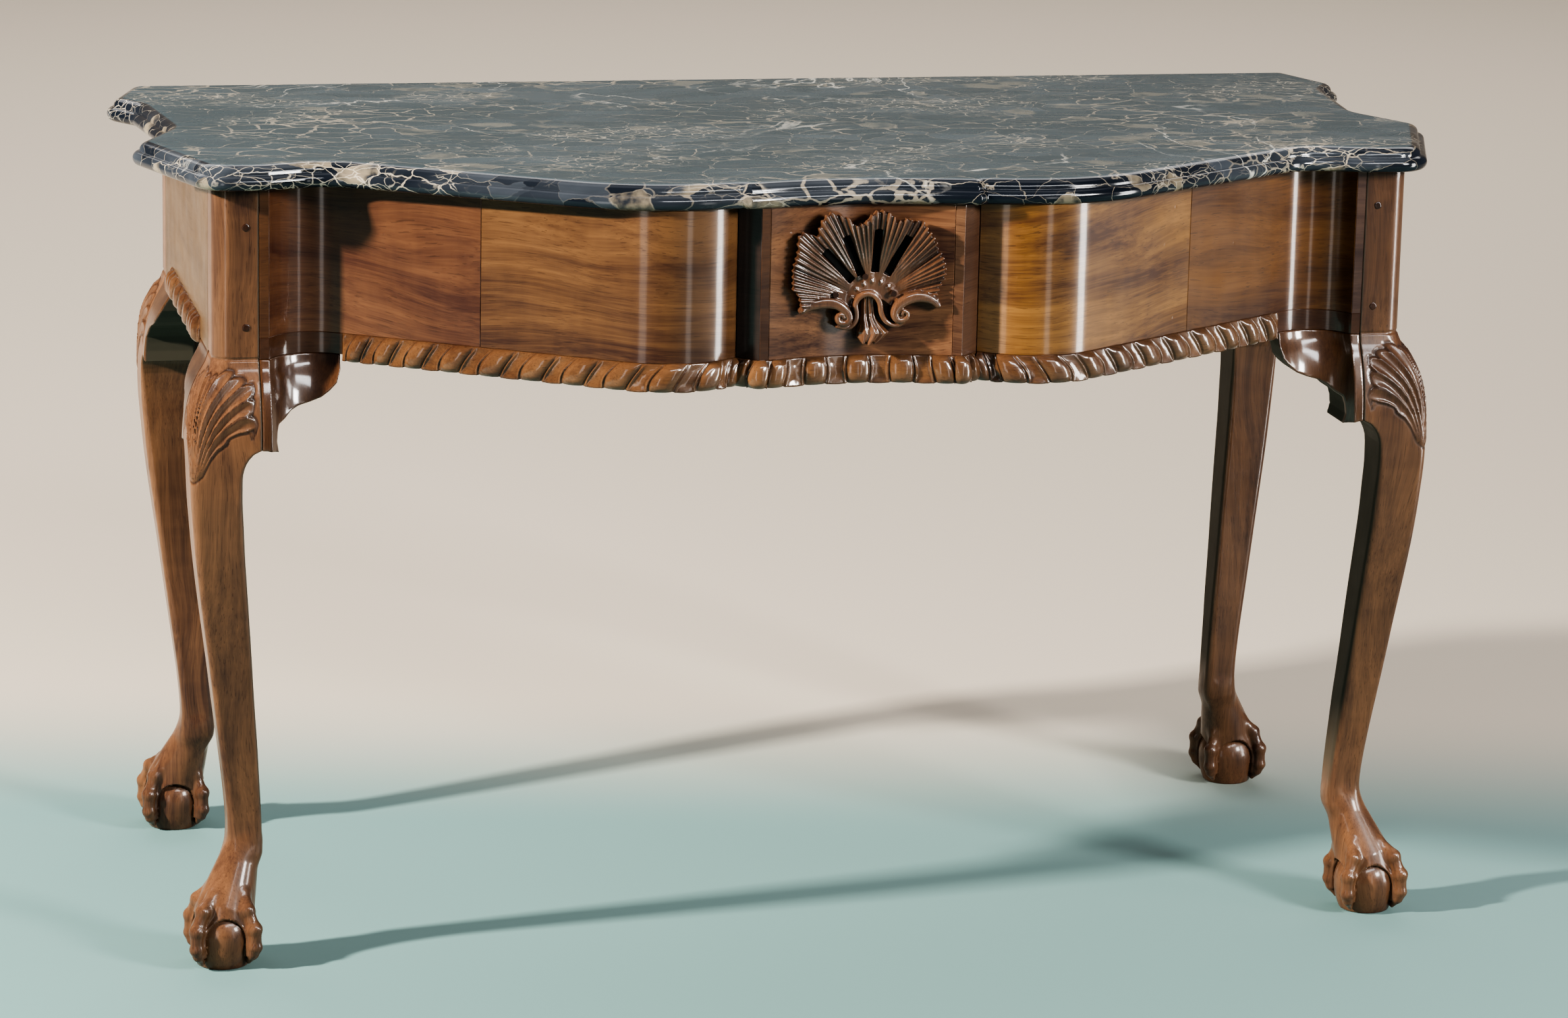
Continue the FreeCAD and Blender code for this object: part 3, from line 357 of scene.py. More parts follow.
def knee_fan(u, w):
    """Relief of the carved fan and the shade painted into its grooves and under its rim, over the ridge's two
    faces.
    """
    reach = np.hypot(u, w)
    angle = np.degrees(np.arctan2(np.abs(u), np.maximum(w, 0.01)))
    spread = angle / 0.7
    for _ in range(4):
        rim = np.interp(spread, *zip(*fan_rim))
        spread = angle / np.interp(reach / rim, *zip(*fan_bend))
    share = np.interp(spread, fan_ridges, range(len(fan_ridges)))
    t = 2 * (share - np.floor(share)) - 1
    rim = np.interp(spread, *zip(*fan_rim)) * (1.004 - 0.030 * np.abs(t) ** 3)
    last = fan_ridges[-1]
    toe = w - FAN_FOOT + 2 - 0.05 * np.minimum(u ** 2, 120)
    inside = smooth_step(rim + 0.9, rim - 1.1, reach) * smooth_step(last + 1.8, last - 1.4, spread)
    inside = inside * smooth_step(0, 5, toe)
    wide = smooth_step(10, 90, reach)
    raised = 1.5 + 2.2 * smooth_step(40, 122, reach)
    relief = inside * (raised - (0.9 + 2.3 * wide) * (1 - np.abs(t) ** 2.2))
    relief = relief - inside * 0.8 * np.exp(-((np.abs(t) - 1) / 0.08) ** 2)
    outside = np.minimum(np.minimum(rim - reach, (last - spread) * reach / 57), toe)
    below = np.exp(-((outside + 1.5) / 1.5) ** 2) * (w > FAN_FOOT - 6)
    relief = relief - 0.6 * below
    # groove is painted shade: darker along the flute edges and in the recess below the rim.
    groove = inside * (0.15 * (1 - t ** 2) + 0.75 * np.exp(-((np.abs(t) - 0.92) / 0.08) ** 2))
    return relief, np.clip(groove + 0.9 * below, 0, 1)


def inner_depth(z):
    """How far the leg's inner faces lie behind the ball's centre, arched out below the post."""
    return np.where(z > 520, np.interp(z, *zip(*inner_arch)), eased(z, inner_profile))


def talon_arch(aside, z):
    """Distance outside the arched opening between two talons."""
    return np.where(z < TALON_SPRING, np.abs(aside), np.hypot(aside, z - TALON_SPRING)) - TALON_ARCH


def ridge_fan(x, y, z):
    """The knee's fan, spread over the two faces beside the outer ridge."""
    return knee_fan((x - y) * 0.98, z - FAN_HINGE)


def leg_distance(x, y, z):
    """Distance field of a leg about its ball, its outer ridge toward +X and +Y."""
    face = np.where(z >= KNEE_TOP, POST_FACE, eased(z, outer_profile))
    back = inner_depth(z)
    half, middle = (face + back) / 2, (face - back) / 2
    px, py = x - middle, y - middle
    outer_round = np.where(z >= KNEE_TOP, 18.0, eased(z, outer_rounding))
    r = np.where((px > 0) & (py > 0), outer_round, eased(z, inner_rounding))
    qx, qy = np.abs(px) - half + r, np.abs(py) - half + r
    shank = np.hypot(np.maximum(qx, 0), np.maximum(qy, 0)) + np.minimum(np.maximum(qx, qy), 0) - r
    if z.max() > FAN_LOW:
        shank = shank - ridge_fan(x, y, z)[0] * (px + py > -8) * (z < KNEE_TOP - 1)
        shank = np.where(np.abs(z - KNEE_TOP) < 1.4, shank + 0.7, shank)
    if z.min() > FOOT_TOP:
        return shank
    flare = strand(x, y, z, (-25, -25, 124), (-3, -3, 57), 17.0, 31.0)
    foot = melt(shank + smooth_step(116, 70, z) * 30, flare, 9)
    squash = np.where(z < BALL_UP, 0.68, 1.0)
    from_ball = np.sqrt(x ** 2 + y ** 2 + ((z - BALL_UP) * squash) ** 2)
    hood = np.maximum(from_ball - BALL_SIZE - 2.6, 22 - z)
    foot = melt(foot, hood, 9)
    for k in range(4):
        facing = math.radians(90 * k)
        out = x * math.cos(facing) + y * math.sin(facing)
        arch = talon_arch(y * math.cos(facing) - x * math.sin(facing), z)
        foot = np.maximum(foot, np.minimum(-arch, out - 10))
        lip = np.hypot(arch, from_ball - BALL_SIZE - 2.0) - 1.5
        foot = np.minimum(foot, np.where((out > 12) & (z > 14), lip, 9))
    for k in range(4):
        towards = math.radians(45 + 90 * k)
        dx, dy = math.cos(towards), math.sin(towards)
        joints = [((-24 + 6 * dx, -24 + 6 * dy), 100, 3.6), ((22 * dx - 5, 22 * dy - 5), 77, 5.6),
                  ((33 * dx, 33 * dy), 63, 7.6), ((37.5 * dx, 37.5 * dy), 54, 5.6),
                  ((42.5 * dx, 42.5 * dy), 44, 7.6), ((43 * dx, 43 * dy), 34, 5.8),
                  ((43 * dx, 43 * dy), 25, 7.0), ((40 * dx, 40 * dy), 17, 5.6), ((34 * dx, 34 * dy), 8, 2.8)]
        talon = None
        for (ground, up, size), (next_ground, next_up, next_size) in zip(joints, joints[1:]):
            piece = strand(x, y, z, (*ground, up), (*next_ground, next_up), size, next_size)
            talon = piece if talon is None else melt(talon, piece, 3.0)
        foot = melt(foot, talon, 5.0)
    return np.minimum(foot, from_ball - BALL_SIZE)


def skin_of(distance, xs, ys, zs):
    """Closed quad mesh on the zero surface of a distance field sampled on a grid of planes."""
    axes = (xs, ys, zs)
    field = distance(*np.meshgrid(*axes, indexing="ij"))
    inside = field < 0
    cells = tuple(n - 1 for n in field.shape)
    spots, total = np.zeros(cells + (3,)), np.zeros(cells)

    def neighbours(axis, rest):
        near, far = [rest] * 3, [rest] * 3
        near[axis], far[axis] = slice(None, -1), slice(1, None)
        return tuple(near), tuple(far)

    for axis in range(3):
        first, second = (n for n in range(3) if n != axis)
        near, far = neighbours(axis, slice(None))
        crossed = inside[near] != inside[far]
        t = np.where(crossed, field[near] / np.where(crossed, field[near] - field[far], 1), 0)
        point = []
        for other in range(3):
            shape = [-1 if other == n else 1 for n in range(3)]
            if other == axis:
                point.append(axes[axis][:-1].reshape(shape) + t * np.diff(axes[axis]).reshape(shape))
            else:
                point.append(np.broadcast_to(axes[other].reshape(shape), t.shape))
        point = np.stack(point, -1) * crossed[..., None]
        for a, b in ((0, 0), (0, 1), (1, 0), (1, 1)):
            cut = [slice(None)] * 3
            cut[first] = slice(a, t.shape[first] - 1 + a)
            cut[second] = slice(b, t.shape[second] - 1 + b)
            spots += point[tuple(cut)]
            total += crossed[tuple(cut)]
    active = total > 0
    number = -np.ones(active.shape, int)
    number[active] = np.arange(active.sum())
    quads = []
    for axis in range(3):
        first, second = (n for n in range(3) if n != axis)
        near, far = neighbours(axis, slice(1, -1))
        crossed = inside[near] != inside[far]
        base = np.argwhere(crossed)
        corner = []
        for a, b in ((0, 0), (1, 0), (1, 1), (0, 1)):
            spot = base.copy()
            spot[:, first] += a
            spot[:, second] += b
            corner.append(number[tuple(spot.T)])
        quad = np.stack(corner, -1)
        leaving = inside[near][crossed]
        flip = leaving if axis == 1 else ~leaving
        quad[flip] = quad[flip][:, ::-1]
        quads.append(quad)
    return spots[active] / total[active][:, None], np.concatenate(quads)


def place_piece(name, mesh, stands_for):
    """Finished mesh riding with the table in place of its solids."""
    piece = bpy.data.objects.new(name, mesh)
    bpy.context.scene.collection.objects.link(piece)
    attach(piece, "root")
    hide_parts(*stands_for)
    return piece


def millimetre_mesh(name, points, faces):
    """Smooth mesh in metres from points in millimetres."""
    mesh = bpy.data.meshes.new(name)
    mesh.from_pydata((np.asarray(points) / 1000).tolist(), [], [list(face) for face in faces])
    mesh.shade_smooth()
    return mesh


def new_piece(name, points, faces, material, slot, stands_for, laid=None, **worked):
    """Piece from points and faces; worked holds per-point marks, such as the wax and painted shade of the
    hollows or how raw each point is, laid its place in the log.
    """
    mesh = millimetre_mesh(name, points, faces)
    for word, values in worked.items():
        mesh.attributes.new(word, "FLOAT", "POINT").data.foreach_set("value", np.asarray(values, np.float32))
    if laid is not None:
        places = np.ravel(laid).astype(np.float32)
        mesh.attributes.new("laid", "FLOAT_VECTOR", "POINT").data.foreach_set("vector", places)
    mesh.materials.append(material)
    return place_piece(name, mesh, stands_for)


across_leg = np.arange(-54.1, 50.0, 1.15)
up_leg = np.concatenate([np.arange(-1.2, 150, 1.15), np.arange(151, 508, 5.0), np.arange(508.6, 648, 1.15),
                         np.arange(650, 818, 8.0), [818.8, 821.2]])


def whole_leg(x, y, z):
    """Leg's distance field, cut off at the floor and under the slab."""
    field = np.empty(x.shape)
    for low, high in ((-10, FOOT_TOP), (FOOT_TOP, FAN_LOW), (FAN_LOW, 900)):
        layers = (z[0, 0] >= low) & (z[0, 0] < high)
        field[:, :, layers] = leg_distance(x[:, :, layers], y[:, :, layers], z[:, :, layers])
    return np.maximum(field, np.maximum(-z, z - LEG_TOP))


leg_points, leg_quads = skin_of(whole_leg, across_leg, across_leg, up_leg)
lx, ly, lz = leg_points.T
# Painted shade for the legs: darker in the knee fan's grooves and under its rim, and in a thin line where the
# talons' arches meet the ball.
on_knee = (lz > FAN_HINGE + 10) & (lz < KNEE_TOP) & (lx + ly > -20)
leg_painted_shade = np.where(on_knee, ridge_fan(lx, ly, lz)[1], 0)
foot_arch = talon_arch(np.minimum(np.abs(lx), np.abs(ly)), lz)
leg_painted_shade = leg_painted_shade + np.where(lz < 60, 0.15 * np.exp(-((foot_arch + 1.0) / 1.2) ** 2), 0)
leg_raw = 0.8 * smooth_step(2.6, 0.8, lx + inner_depth(lz)) * smooth_step(120, 170, lz)
leg_wood = mahogany("leg mahogany", (0.190, 0.093, 0.048), (0.045, 0.022, 0.016), 0.6, hollow=True, raw=True,
                    coat=0.3)
sides, SIDE_FACE = ((-1, "left"), (1, "right")), 634.0
for end, depth_sign, foot_y in (("front", -1, -174.6), ("back", 1, 329.4)):
    for side, word in sides:
        placed = leg_points * (side, depth_sign, 1) + (side * (SIDE_FACE - POST_FACE), foot_y, 0)
        turned = leg_quads if side * depth_sign > 0 else leg_quads[:, ::-1]
        new_piece(f"{end}_{word}_carved_leg", placed, turned, leg_wood, "mahogany", (f"{end}_{word}_leg",),
                  hollow=leg_painted_shade, raw=leg_raw)

# ---------------------------------------------------------------- rails, core and glue blocks
# Hidden carcase work: the shaped front is laminated from three courses of pale
# secondary wood, sawn to the plan; the side rails are solid mahogany.  Left from
# the saw inside, oxidised grey-brown, with old glue and dust.


def dress(material, *names):
    """Give carried-over solids their material."""
    for name in names:
        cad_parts[name].data.materials.clear()
        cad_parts[name].data.materials.append(material)


raw_wood = mahogany("sawn secondary wood", (0.30, 0.20, 0.11), (0.17, 0.10, 0.05), 0.45, turn=(0, 90, 0),
                    coat=0.0)
rail_wood = mahogany("side rail mahogany", (0.115, 0.066, 0.033), (0.052, 0.029, 0.016), 0.6, turn=(90, 0, 0),
                     coat=0.1)
dress(raw_wood, "front_core_bottom_course", "front_core_middle_course", "front_core_top_course", "back_rail",
      "left_brace", "right_brace", "front_left_glue_block", "front_right_glue_block", "back_left_glue_block",
      "back_right_glue_block")
dress(rail_wood, "left_side_rail", "right_side_rail")

# ---------------------------------------------------------------- veneered front
# Saw-cut sheets of figured mahogany laid over the core with their grain along
# the front, butted at fine open seams; two centuries of polish have left them
# gently uneven and pocked with small dents.


def plan_line(corners, distance, closed, kept=(), turn_steps=24, side_steps=12):
    """Points along a rounded plan line moved to its left, the same count whatever the distance."""
    count = len(corners)
    edges = count if closed else count - 1
    lines = []
    for i in range(edges):
        x0, y0, _ = corners[i]
        x1, y1, _ = corners[(i + 1) % count]
        length = math.hypot(x1 - x0, y1 - y0)
        ux, uy = (x1 - x0) / length, (y1 - y0) / length
        shift = 0.0 if i in kept else distance
        lines.append((x0 - uy * shift, y0 + ux * shift, ux, uy, length))
    moved = []
    for i in range(count):
        radius = corners[i][2]
        if not closed and i in (0, count - 1):
            x, y, ux, uy, length = lines[0 if i == 0 else -1]
            run = 0 if i == 0 else length
            moved.append((x + ux * run, y + uy * run, 0))
            continue
        ax, ay, aux, auy, _ = lines[i - 1]
        bx, by, bux, buy, _ = lines[i % edges]
        turn = aux * buy - auy * bux
        run = ((bx - ax) * buy - (by - ay) * bux) / turn
        if radius:
            radius -= distance * math.copysign(1, turn)
        moved.append((ax + aux * run, ay + auy * run, max(radius, 0.2)))
    spans = []
    for i, (x, y, radius) in enumerate(moved):
        here = np.array((x, y))
        if not closed and i in (0, count - 1):
            spans.append([here])
            continue
        before = np.array(moved[i - 1][:2]) - here
        after = np.array(moved[(i + 1) % count][:2]) - here
        before, after = before / np.linalg.norm(before), after / np.linalg.norm(after)
        half = math.acos(max(-1, min(1, before.dot(after)))) / 2
        middle = before + after
        centre = here + middle / np.linalg.norm(middle) * radius / math.sin(half)
        start = here + before * radius / math.tan(half) - centre
        sweep = (math.pi - 2 * half) * math.copysign(1, -before[0] * after[1] + before[1] * after[0])
        steps = turn_steps if corners[i][2] else 2
        arc = []
        for step in range(steps + 1):
            angle = sweep * step / steps
            c, s = math.cos(angle), math.sin(angle)
            arc.append(centre + (c * start[0] - s * start[1], s * start[0] + c * start[1]))
        spans.append(arc)
    points = []
    for i, arc in enumerate(spans):
        points.extend(arc)
        if i + 1 < count or closed:
            first, last = arc[-1], spans[(i + 1) % count][0]
            points.extend(first + (last - first) * step / side_steps for step in range(1, side_steps))
    return np.array(points)


POST_INNER, POST_PLANE, VENEER_FOOT = 587, -182.6, 665
front_half = [(0, -324.6, 295), (105, -353.6, 0), (125, -333.6, 0), (189, -378.6, 86), (549, -133.6, 45),
              (577, POST_PLANE, 0), (POST_INNER, POST_PLANE, 0)]
front_corners = [(-x, y, r) for x, y, r in reversed(front_half[1:])] + front_half
front_line = plan_line(front_corners, 0, False, turn_steps=60, side_steps=60)
steps_along = np.concatenate([[0], np.cumsum(np.linalg.norm(np.diff(front_line, axis=0), axis=1))])


def front_at(runs):
    """Points of the shaped front at distances along it, with their outward directions."""
    line = np.column_stack([np.interp(runs, steps_along, front_line[:, i]) for i in (0, 1)])
    forward = np.gradient(line, runs, axis=0)
    forward /= np.linalg.norm(forward, axis=1)[:, None]
    return line, np.column_stack([forward[:, 1], -forward[:, 0]])


def front_runs(left, right, spacing):
    """Even distances along the shaped front between two places."""
    run0, run1 = (np.interp(x, front_line[:, 0], steps_along) for x in (left, right))
    return np.linspace(run0, run1, max(3, int((run1 - run0) / spacing)))


def ring_faces(count, size):
    """Walls between a count of rings of one size, and a cap at each end."""
    walls = [(i * size + j, i * size + (j + 1) % size, (i + 1) * size + (j + 1) % size, (i + 1) * size + j)
             for i in range(count - 1) for j in range(size)]
    return walls + [list(range(size))[::-1], [(count - 1) * size + j for j in range(size)]]


sheets = (
    ("left_corner_veneer", -587, -577, (0.116, 0.051, 0.023), (0.0413, 0.0152, 0.0081), 0.6, (0.2, 0, 0.1)),
    ("left_outer_veneer", -577, -372, (0.165, 0.074, 0.036), (0.055, 0.020, 0.013), 0.65, (0.7, 0, 0.3)),
    ("left_inner_veneer", -372, -125, (0.160, 0.078, 0.034), (0.0425, 0.0165, 0.0107), 0.9, (1.3, 0, 0.2)),
    # The left return's colours are darkened as a painted shadow, standing for the shade cast by the bulge
    # beside it.
    ("left_return_veneer", -125, -105, (0.035, 0.017, 0.013), (0.0088, 0.0051, 0.0045), 0.5, (0.4, 0, 0.7)),
    ("left_block_banding", -105, -95, (0.139, 0.060, 0.025), (0.044, 0.0159, 0.0081), 0.5, (0.9, 0, 0.5)),
    ("block_veneer_panel", -95, 95, (0.250, 0.120, 0.060), (0.046, 0.0172, 0.0124), 0.95, (2.1, 0, 0.4)),
    ("right_block_banding", 95, 105, (0.195, 0.100, 0.055), (0.050, 0.020, 0.014), 0.5, (1.9, 0, 0.1)),
    ("right_return_veneer", 105, 125, (0.125, 0.064, 0.038), (0.036, 0.016, 0.012), 0.5, (0.3, 0, 0.9)),
    ("right_inner_veneer", 125, 372, (0.255, 0.122, 0.038), (0.066, 0.0235, 0.0100), 0.9, (2.9, 0, 0.6)),
    ("right_outer_veneer", 372, 577, (0.165, 0.072, 0.024), (0.052, 0.0185, 0.0085), 0.8, (3.3, 0, 0.8)),
    ("right_corner_veneer", 577, 587, (0.125, 0.070, 0.050), (0.0375, 0.0188, 0.0164), 0.6, (0.1, 0, 0.2)),
    ("left_base_strip", -587, -500, (0.104, 0.044, 0.021), (0.033, 0.0126, 0.0074), 0.5, (1.1, 0, 0.4)),
    ("right_base_strip", 500, 587, (0.122, 0.051, 0.023), (0.0385, 0.0146, 0.0081), 0.5, (1.6, 0, 0.4)),
)
for name, left, right, light, dark, figure, slide in sheets:
    is_veneer = not name.endswith("strip")
    bottom, top = (VENEER_FOOT, LEG_TOP) if is_veneer else (KNEE_TOP, VENEER_FOOT)
    runs = front_runs(left, right, 1.6)
    runs = np.concatenate([[runs[0], runs[0] + 0.6], runs[1:-1], [runs[-1] - 0.6, runs[-1]]])
    line, outward = front_at(runs)
    rows = int((top - bottom) / 4)
    heights = np.concatenate([[bottom, bottom, bottom + 0.45], np.linspace(bottom, top, rows)[1:-1],
                              [top - 0.45, top, top]])
    sunk = np.concatenate([[3.0, 0.5, 0.0], np.zeros(rows - 2), [0.0, 0.5, 3.0]])
    points, laid = [], []
    for i, run in enumerate(runs):
        near_end = i in (0, len(runs) - 1)
        for z, depth in zip(heights, sunk):
            if depth == 0:
                wave = math.sin(run / 23 + z / 31) * math.sin(z / 19 + run / 61 + slide[0])
                depth = 0.7 if near_end else 0.07 + 0.07 * wave
            points.append((*(line[i] - outward[i] * depth), z))
            laid.append((z / 1000, depth / 1000, run / 1000))
    sheet_wood = mahogany(name.replace("_", " "), light, dark, figure, slide=slide, dents=True, laid=True,
                          coat=0.5)
    sheet = new_piece(name + "_sheet", points, ring_faces(len(runs), len(heights)), sheet_wood,
                      "figured_mahogany" if is_veneer else "mahogany", (name,), laid=laid)
    sheet.data.set_sharp_from_angle(angle=math.radians(35))

# ---------------------------------------------------------------- marble slab
# One sawn slab of black fossil marble, veined with buff and white, its front and
# sides cut to serpentine coves and lobes and moulded with a roll, a small fillet
# and a flattened quarter round; the back edge stays straight for the wall.
slab_half = [(0, -335.6, 420), (118, -364.6, 0), (126, -359.6, 0), (231, -376.6, 200), (517, -188.6, 60),
             (585, -210.6, 60), (644, -210.6, 40), (702, -34.6, 28), (660, 57.4, 60), (677, 212.4, 42),
             (702, 254.4, 28), (676, 337.4, 0)]
slab_corners = [(-x, y, r) for x, y, r in reversed(slab_half[1:])] + slab_half
slab_back = len(slab_corners) - 1


def slab_moulding():
    """Inset and height of the slab's section, from under the roll to the flat top."""
    section = [(14, 0.0), (9.0, 0.0)]
    for step in range(17):
        angle = math.radians(-84 + 168 * step / 16)
        section.append((7.5 * (1 - math.cos(angle)), 7.5 * (1 + math.sin(angle) / math.sin(math.radians(84)))))
    section += [(7.0, 15.2), (7.2, 15.8)]
    for step in range(1, 13):
        angle = math.radians(90 * step / 12)
        section.append((7.3 + 12.5 * (1 - math.cos(angle)), 16.2 + 8.7 * math.sin(angle)))
    section += [(20.6, 25.0), (24, 25.0), (32, 25.0)]
    return section


slab_rings = []
for inset, up in slab_moulding():
    ring = plan_line(slab_corners, inset, True, kept=(slab_back,), turn_steps=18, side_steps=14)
    slab_rings.append(np.column_stack([ring, np.full(len(ring), LEG_TOP + up)]))

marble, stone, stone_shader = new_material("black fossil marble")
stone_place = grown(stone, "ShaderNodeTexCoord", "Object")


def stone_noise(scale, detail, stretch=(1, 1, 1), distortion=0.0, output="Fac"):
    """Noise over the slab, stretched along its length when asked."""
    return noise(stretched(stone_place, stretch), scale, detail, distortion, output=output)


wander = grown(stone, "ShaderNodeVectorMath", "Vector",
               {0: stone_noise(14, 5, output="Color"), 1: (0.055, 0.045, 0.045), 2: stone_place},
               operation="MULTIPLY_ADD")
shards = stretched(wander, (0.55, 1.0, 1.25))


def stone_cells(scale, feature, output):
    """Broken fragments of the stone: their edges or a colour for each."""
    return grown(stone, "ShaderNodeTexVoronoi", output, {"Vector": shards, "Scale": scale}, feature=feature)


each = new_node(stone, "ShaderNodeSeparateColor", {"Color": stone_cells(38, "F1", "Color")}).outputs
patch = between(stone_noise(6, 4, (0.45, 1, 1), 0.6), 0.3, 0.7)
ground = tinted(Wire(each["Red"]) * patch, (0.009, 0.012, 0.018), (0.080, 0.090, 0.104))
filled = reckon("GREATER_THAN", Wire(each["Green"]), 0.90) * between(stone_noise(40, 4), 0.35, 0.6)
ground = tinted(filled * 0.7, ground, (0.30, 0.245, 0.17))
facing = grown(stone, "ShaderNodeNewGeometry", "Normal")
facing_up = grown(stone, "ShaderNodeSeparateXYZ", "Z", {"Vector": facing})
# Painted reflection: the flat top is tinted blue-grey, as if mirroring the room at a grazing angle.
flat_top, painted_top_reflection = between(facing_up, 0.975, 0.998), (0.036, 0.080, 0.100)
ground = tinted(flat_top * 0.42, ground, painted_top_reflection)
thick = between(stone_noise(10, 5, (0.5, 1, 1)), 0.42, 0.72) * 0.045 + 0.009
vein = 1.0 - between(stone_cells(38, "DISTANCE_TO_EDGE", "Distance") / thick, 0.55, 1.0)
vein = vein * between(stone_noise(7, 3, (0.5, 1, 1)), 0.34, 0.56)
vein_tint = tinted(stone_noise(35, 5), (0.42, 0.37, 0.30), (0.22, 0.18, 0.13))
ground = tinted(vein * 0.9, ground, vein_tint)
hair = 1.0 - between(stone_cells(85, "DISTANCE_TO_EDGE", "Distance"), 0.008, 0.05)
hair = hair * between(stone_noise(9, 4, (0.6, 1, 1)), 0.50, 0.62)
ground = tinted(hair * 0.7, ground, (0.50, 0.44, 0.35))
thread = 1.0 - between(reckon("ABSOLUTE", stone_noise(3.5, 7, (1, 1, 1), 0.8) - 0.5), 0.0, 0.0045)
thread = thread * between(stone_noise(5, 2), 0.45, 0.6)
ground = tinted(thread * 0.8, ground, (0.66, 0.63, 0.56))
plug(stone_shader, {
    "Base Color": tinted(flat_top * 0.20, ground, painted_top_reflection),
    "Roughness": flat_top * 0.15 + (stone_noise(30, 5) * 0.12 + 0.06),
    "Specular IOR Level": 0.34,
    "Normal": bumped(stone_noise(45, 4), Strength=0.12, Distance=0.0004)})
slab_faces = ring_faces(len(slab_rings), len(slab_rings[0]))
slab = new_piece("moulded_marble_slab", np.concatenate(slab_rings), slab_faces, marble, "marble",
                 ("marble_top",))
slab.data.set_sharp_from_angle(angle=math.radians(40))

# ---------------------------------------------------------------- gadrooned edge
# Mahogany strips glued under the front veneer and on the side rails: round lobes
# and hollow ones turn about, parted by fine ridges, leaning away from the middle;
# their lower ends are rounded and scalloped.


def carved_lobes():
    """Geometry nodes: cut the lobes into a moulding that carries along, down and carve."""
    tree = bpy.data.node_groups.new("carved lobes", "GeometryNodeTree")
    tree.is_modifier = True
    new_socket = tree.interface.new_socket
    new_socket(name="Geometry", in_out="INPUT", socket_type="NodeSocketGeometry")
    for name, value in (("Slant", 0.36), ("Depth", 0.0044), ("Ridge", 0.0015), ("Rough", 0.0004)):
        new_socket(name=name, in_out="INPUT", socket_type="NodeSocketFloat").default_value = value
    new_socket(name="Material", in_out="INPUT", socket_type="NodeSocketMaterial")
    new_socket(name="Geometry", in_out="OUTPUT", socket_type="NodeSocketGeometry")
    given = group_inputs(tree)

    def held(name, kind="FLOAT"):
        return grown(tree, "GeometryNodeInputNamedAttribute", "Attribute", {"Name": name}, data_type=kind)

    down, carve = held("down"), held("carve")
    up = 1.0 - down
    spot = held("along") + up ** 1.7 * given["Slant"] * held("lean")
    belly = reckon("SINE", down * math.pi) * 0.035
    apart = reckon("PINGPONG", spot, 0.5) - belly

    def bulge(offset):
        share = offset / 0.25
        return reckon("SUBTRACT", 1.0, share * share, clamp=True) ** 0.8

    def crest(centre, half):
        return reckon("SUBTRACT", 1.0, reckon("ABSOLUTE", apart - centre) / half, clamp=True)

    flute = bulge(0.5 - apart)
    lobe = bulge(apart) * given["Depth"] - flute * (given["Depth"] * 0.55)
    ridge = (crest(0.305, 0.032) - crest(0.25, 0.030) * 0.9) * given["Ridge"]
    rounded_end = reckon("MULTIPLY", reckon("SINE", (down * 0.9 + 0.04) * math.pi), 1.5, clamp=True)
    lip = down ** 6.0 * flute * 0.0026
    chisel = (noise(grown(tree, "GeometryNodeInputPosition", "Position"), 160) - 0.5) * given["Rough"]
    height = ((lobe + ridge) * rounded_end + lip + chisel) * carve
    outward = grown(tree, "ShaderNodeVectorMath", "Vector", {0: held("out", "FLOAT_VECTOR"), "Scale": height},
                    operation="SCALE")
    cut = grown(tree, "GeometryNodeSetPosition", "Geometry", {"Geometry": given["Geometry"], "Offset": outward})
    # Painted shade: the grooves and the strip's top and bottom edges are darkened through the hollow attribute.
    groove = reckon("ADD", crest(0.25, 0.045), crest(0.36, 0.035) * 0.6, clamp=True)
    groove_painted_shade = reckon("MULTIPLY", groove + up ** 6.0 * 0.9 + down ** 9.0 * 0.8, carve, clamp=True) * 0.4
    shaded_strip = grown(tree, "GeometryNodeStoreNamedAttribute", "Geometry",
                  {"Geometry": cut, "Name": "hollow", "Value": groove_painted_shade}, data_type="FLOAT", domain="POINT")
    real = grown(tree, "GeometryNodeRealizeInstances", "Geometry", {"Geometry": shaded_strip})
    coated = grown(tree, "GeometryNodeSetMaterial", "Geometry",
                   {"Geometry": real, "Material": given["Material"]})
    plug(tree.nodes.new("NodeGroupOutput").inputs, {"Geometry": coated})
    return tree


lobes_tree = carved_lobes()
carved_wood = mahogany("carved mahogany", (0.175, 0.085, 0.038), (0.050, 0.0207, 0.0120), 0.5, turn=(0, 90, 0),
                       hollow=True, coat=0.8)

# lobe edges measured from the middle of the front: round ones and hollow ones in turn
lobe_edges = [(0, 0.0), (10.5, 0.25), (35, 0.75), (57, 1.25), (82, 1.75), (100, 2.25), (101, 2.75), (118, 3.25),
              (119, 3.75), (136, 4.25), (137, 4.75), (152, 5.25), (166, 5.75)]
while lobe_edges[-1][0] < 600:
    reach, turn = lobe_edges[-1]
    size = 22.5 - 8.5 * smooth_step(380, 580, reach)
    lobe_edges += [(reach + size, turn + 0.5), (reach + 2.05 * size, turn + 1.0)]


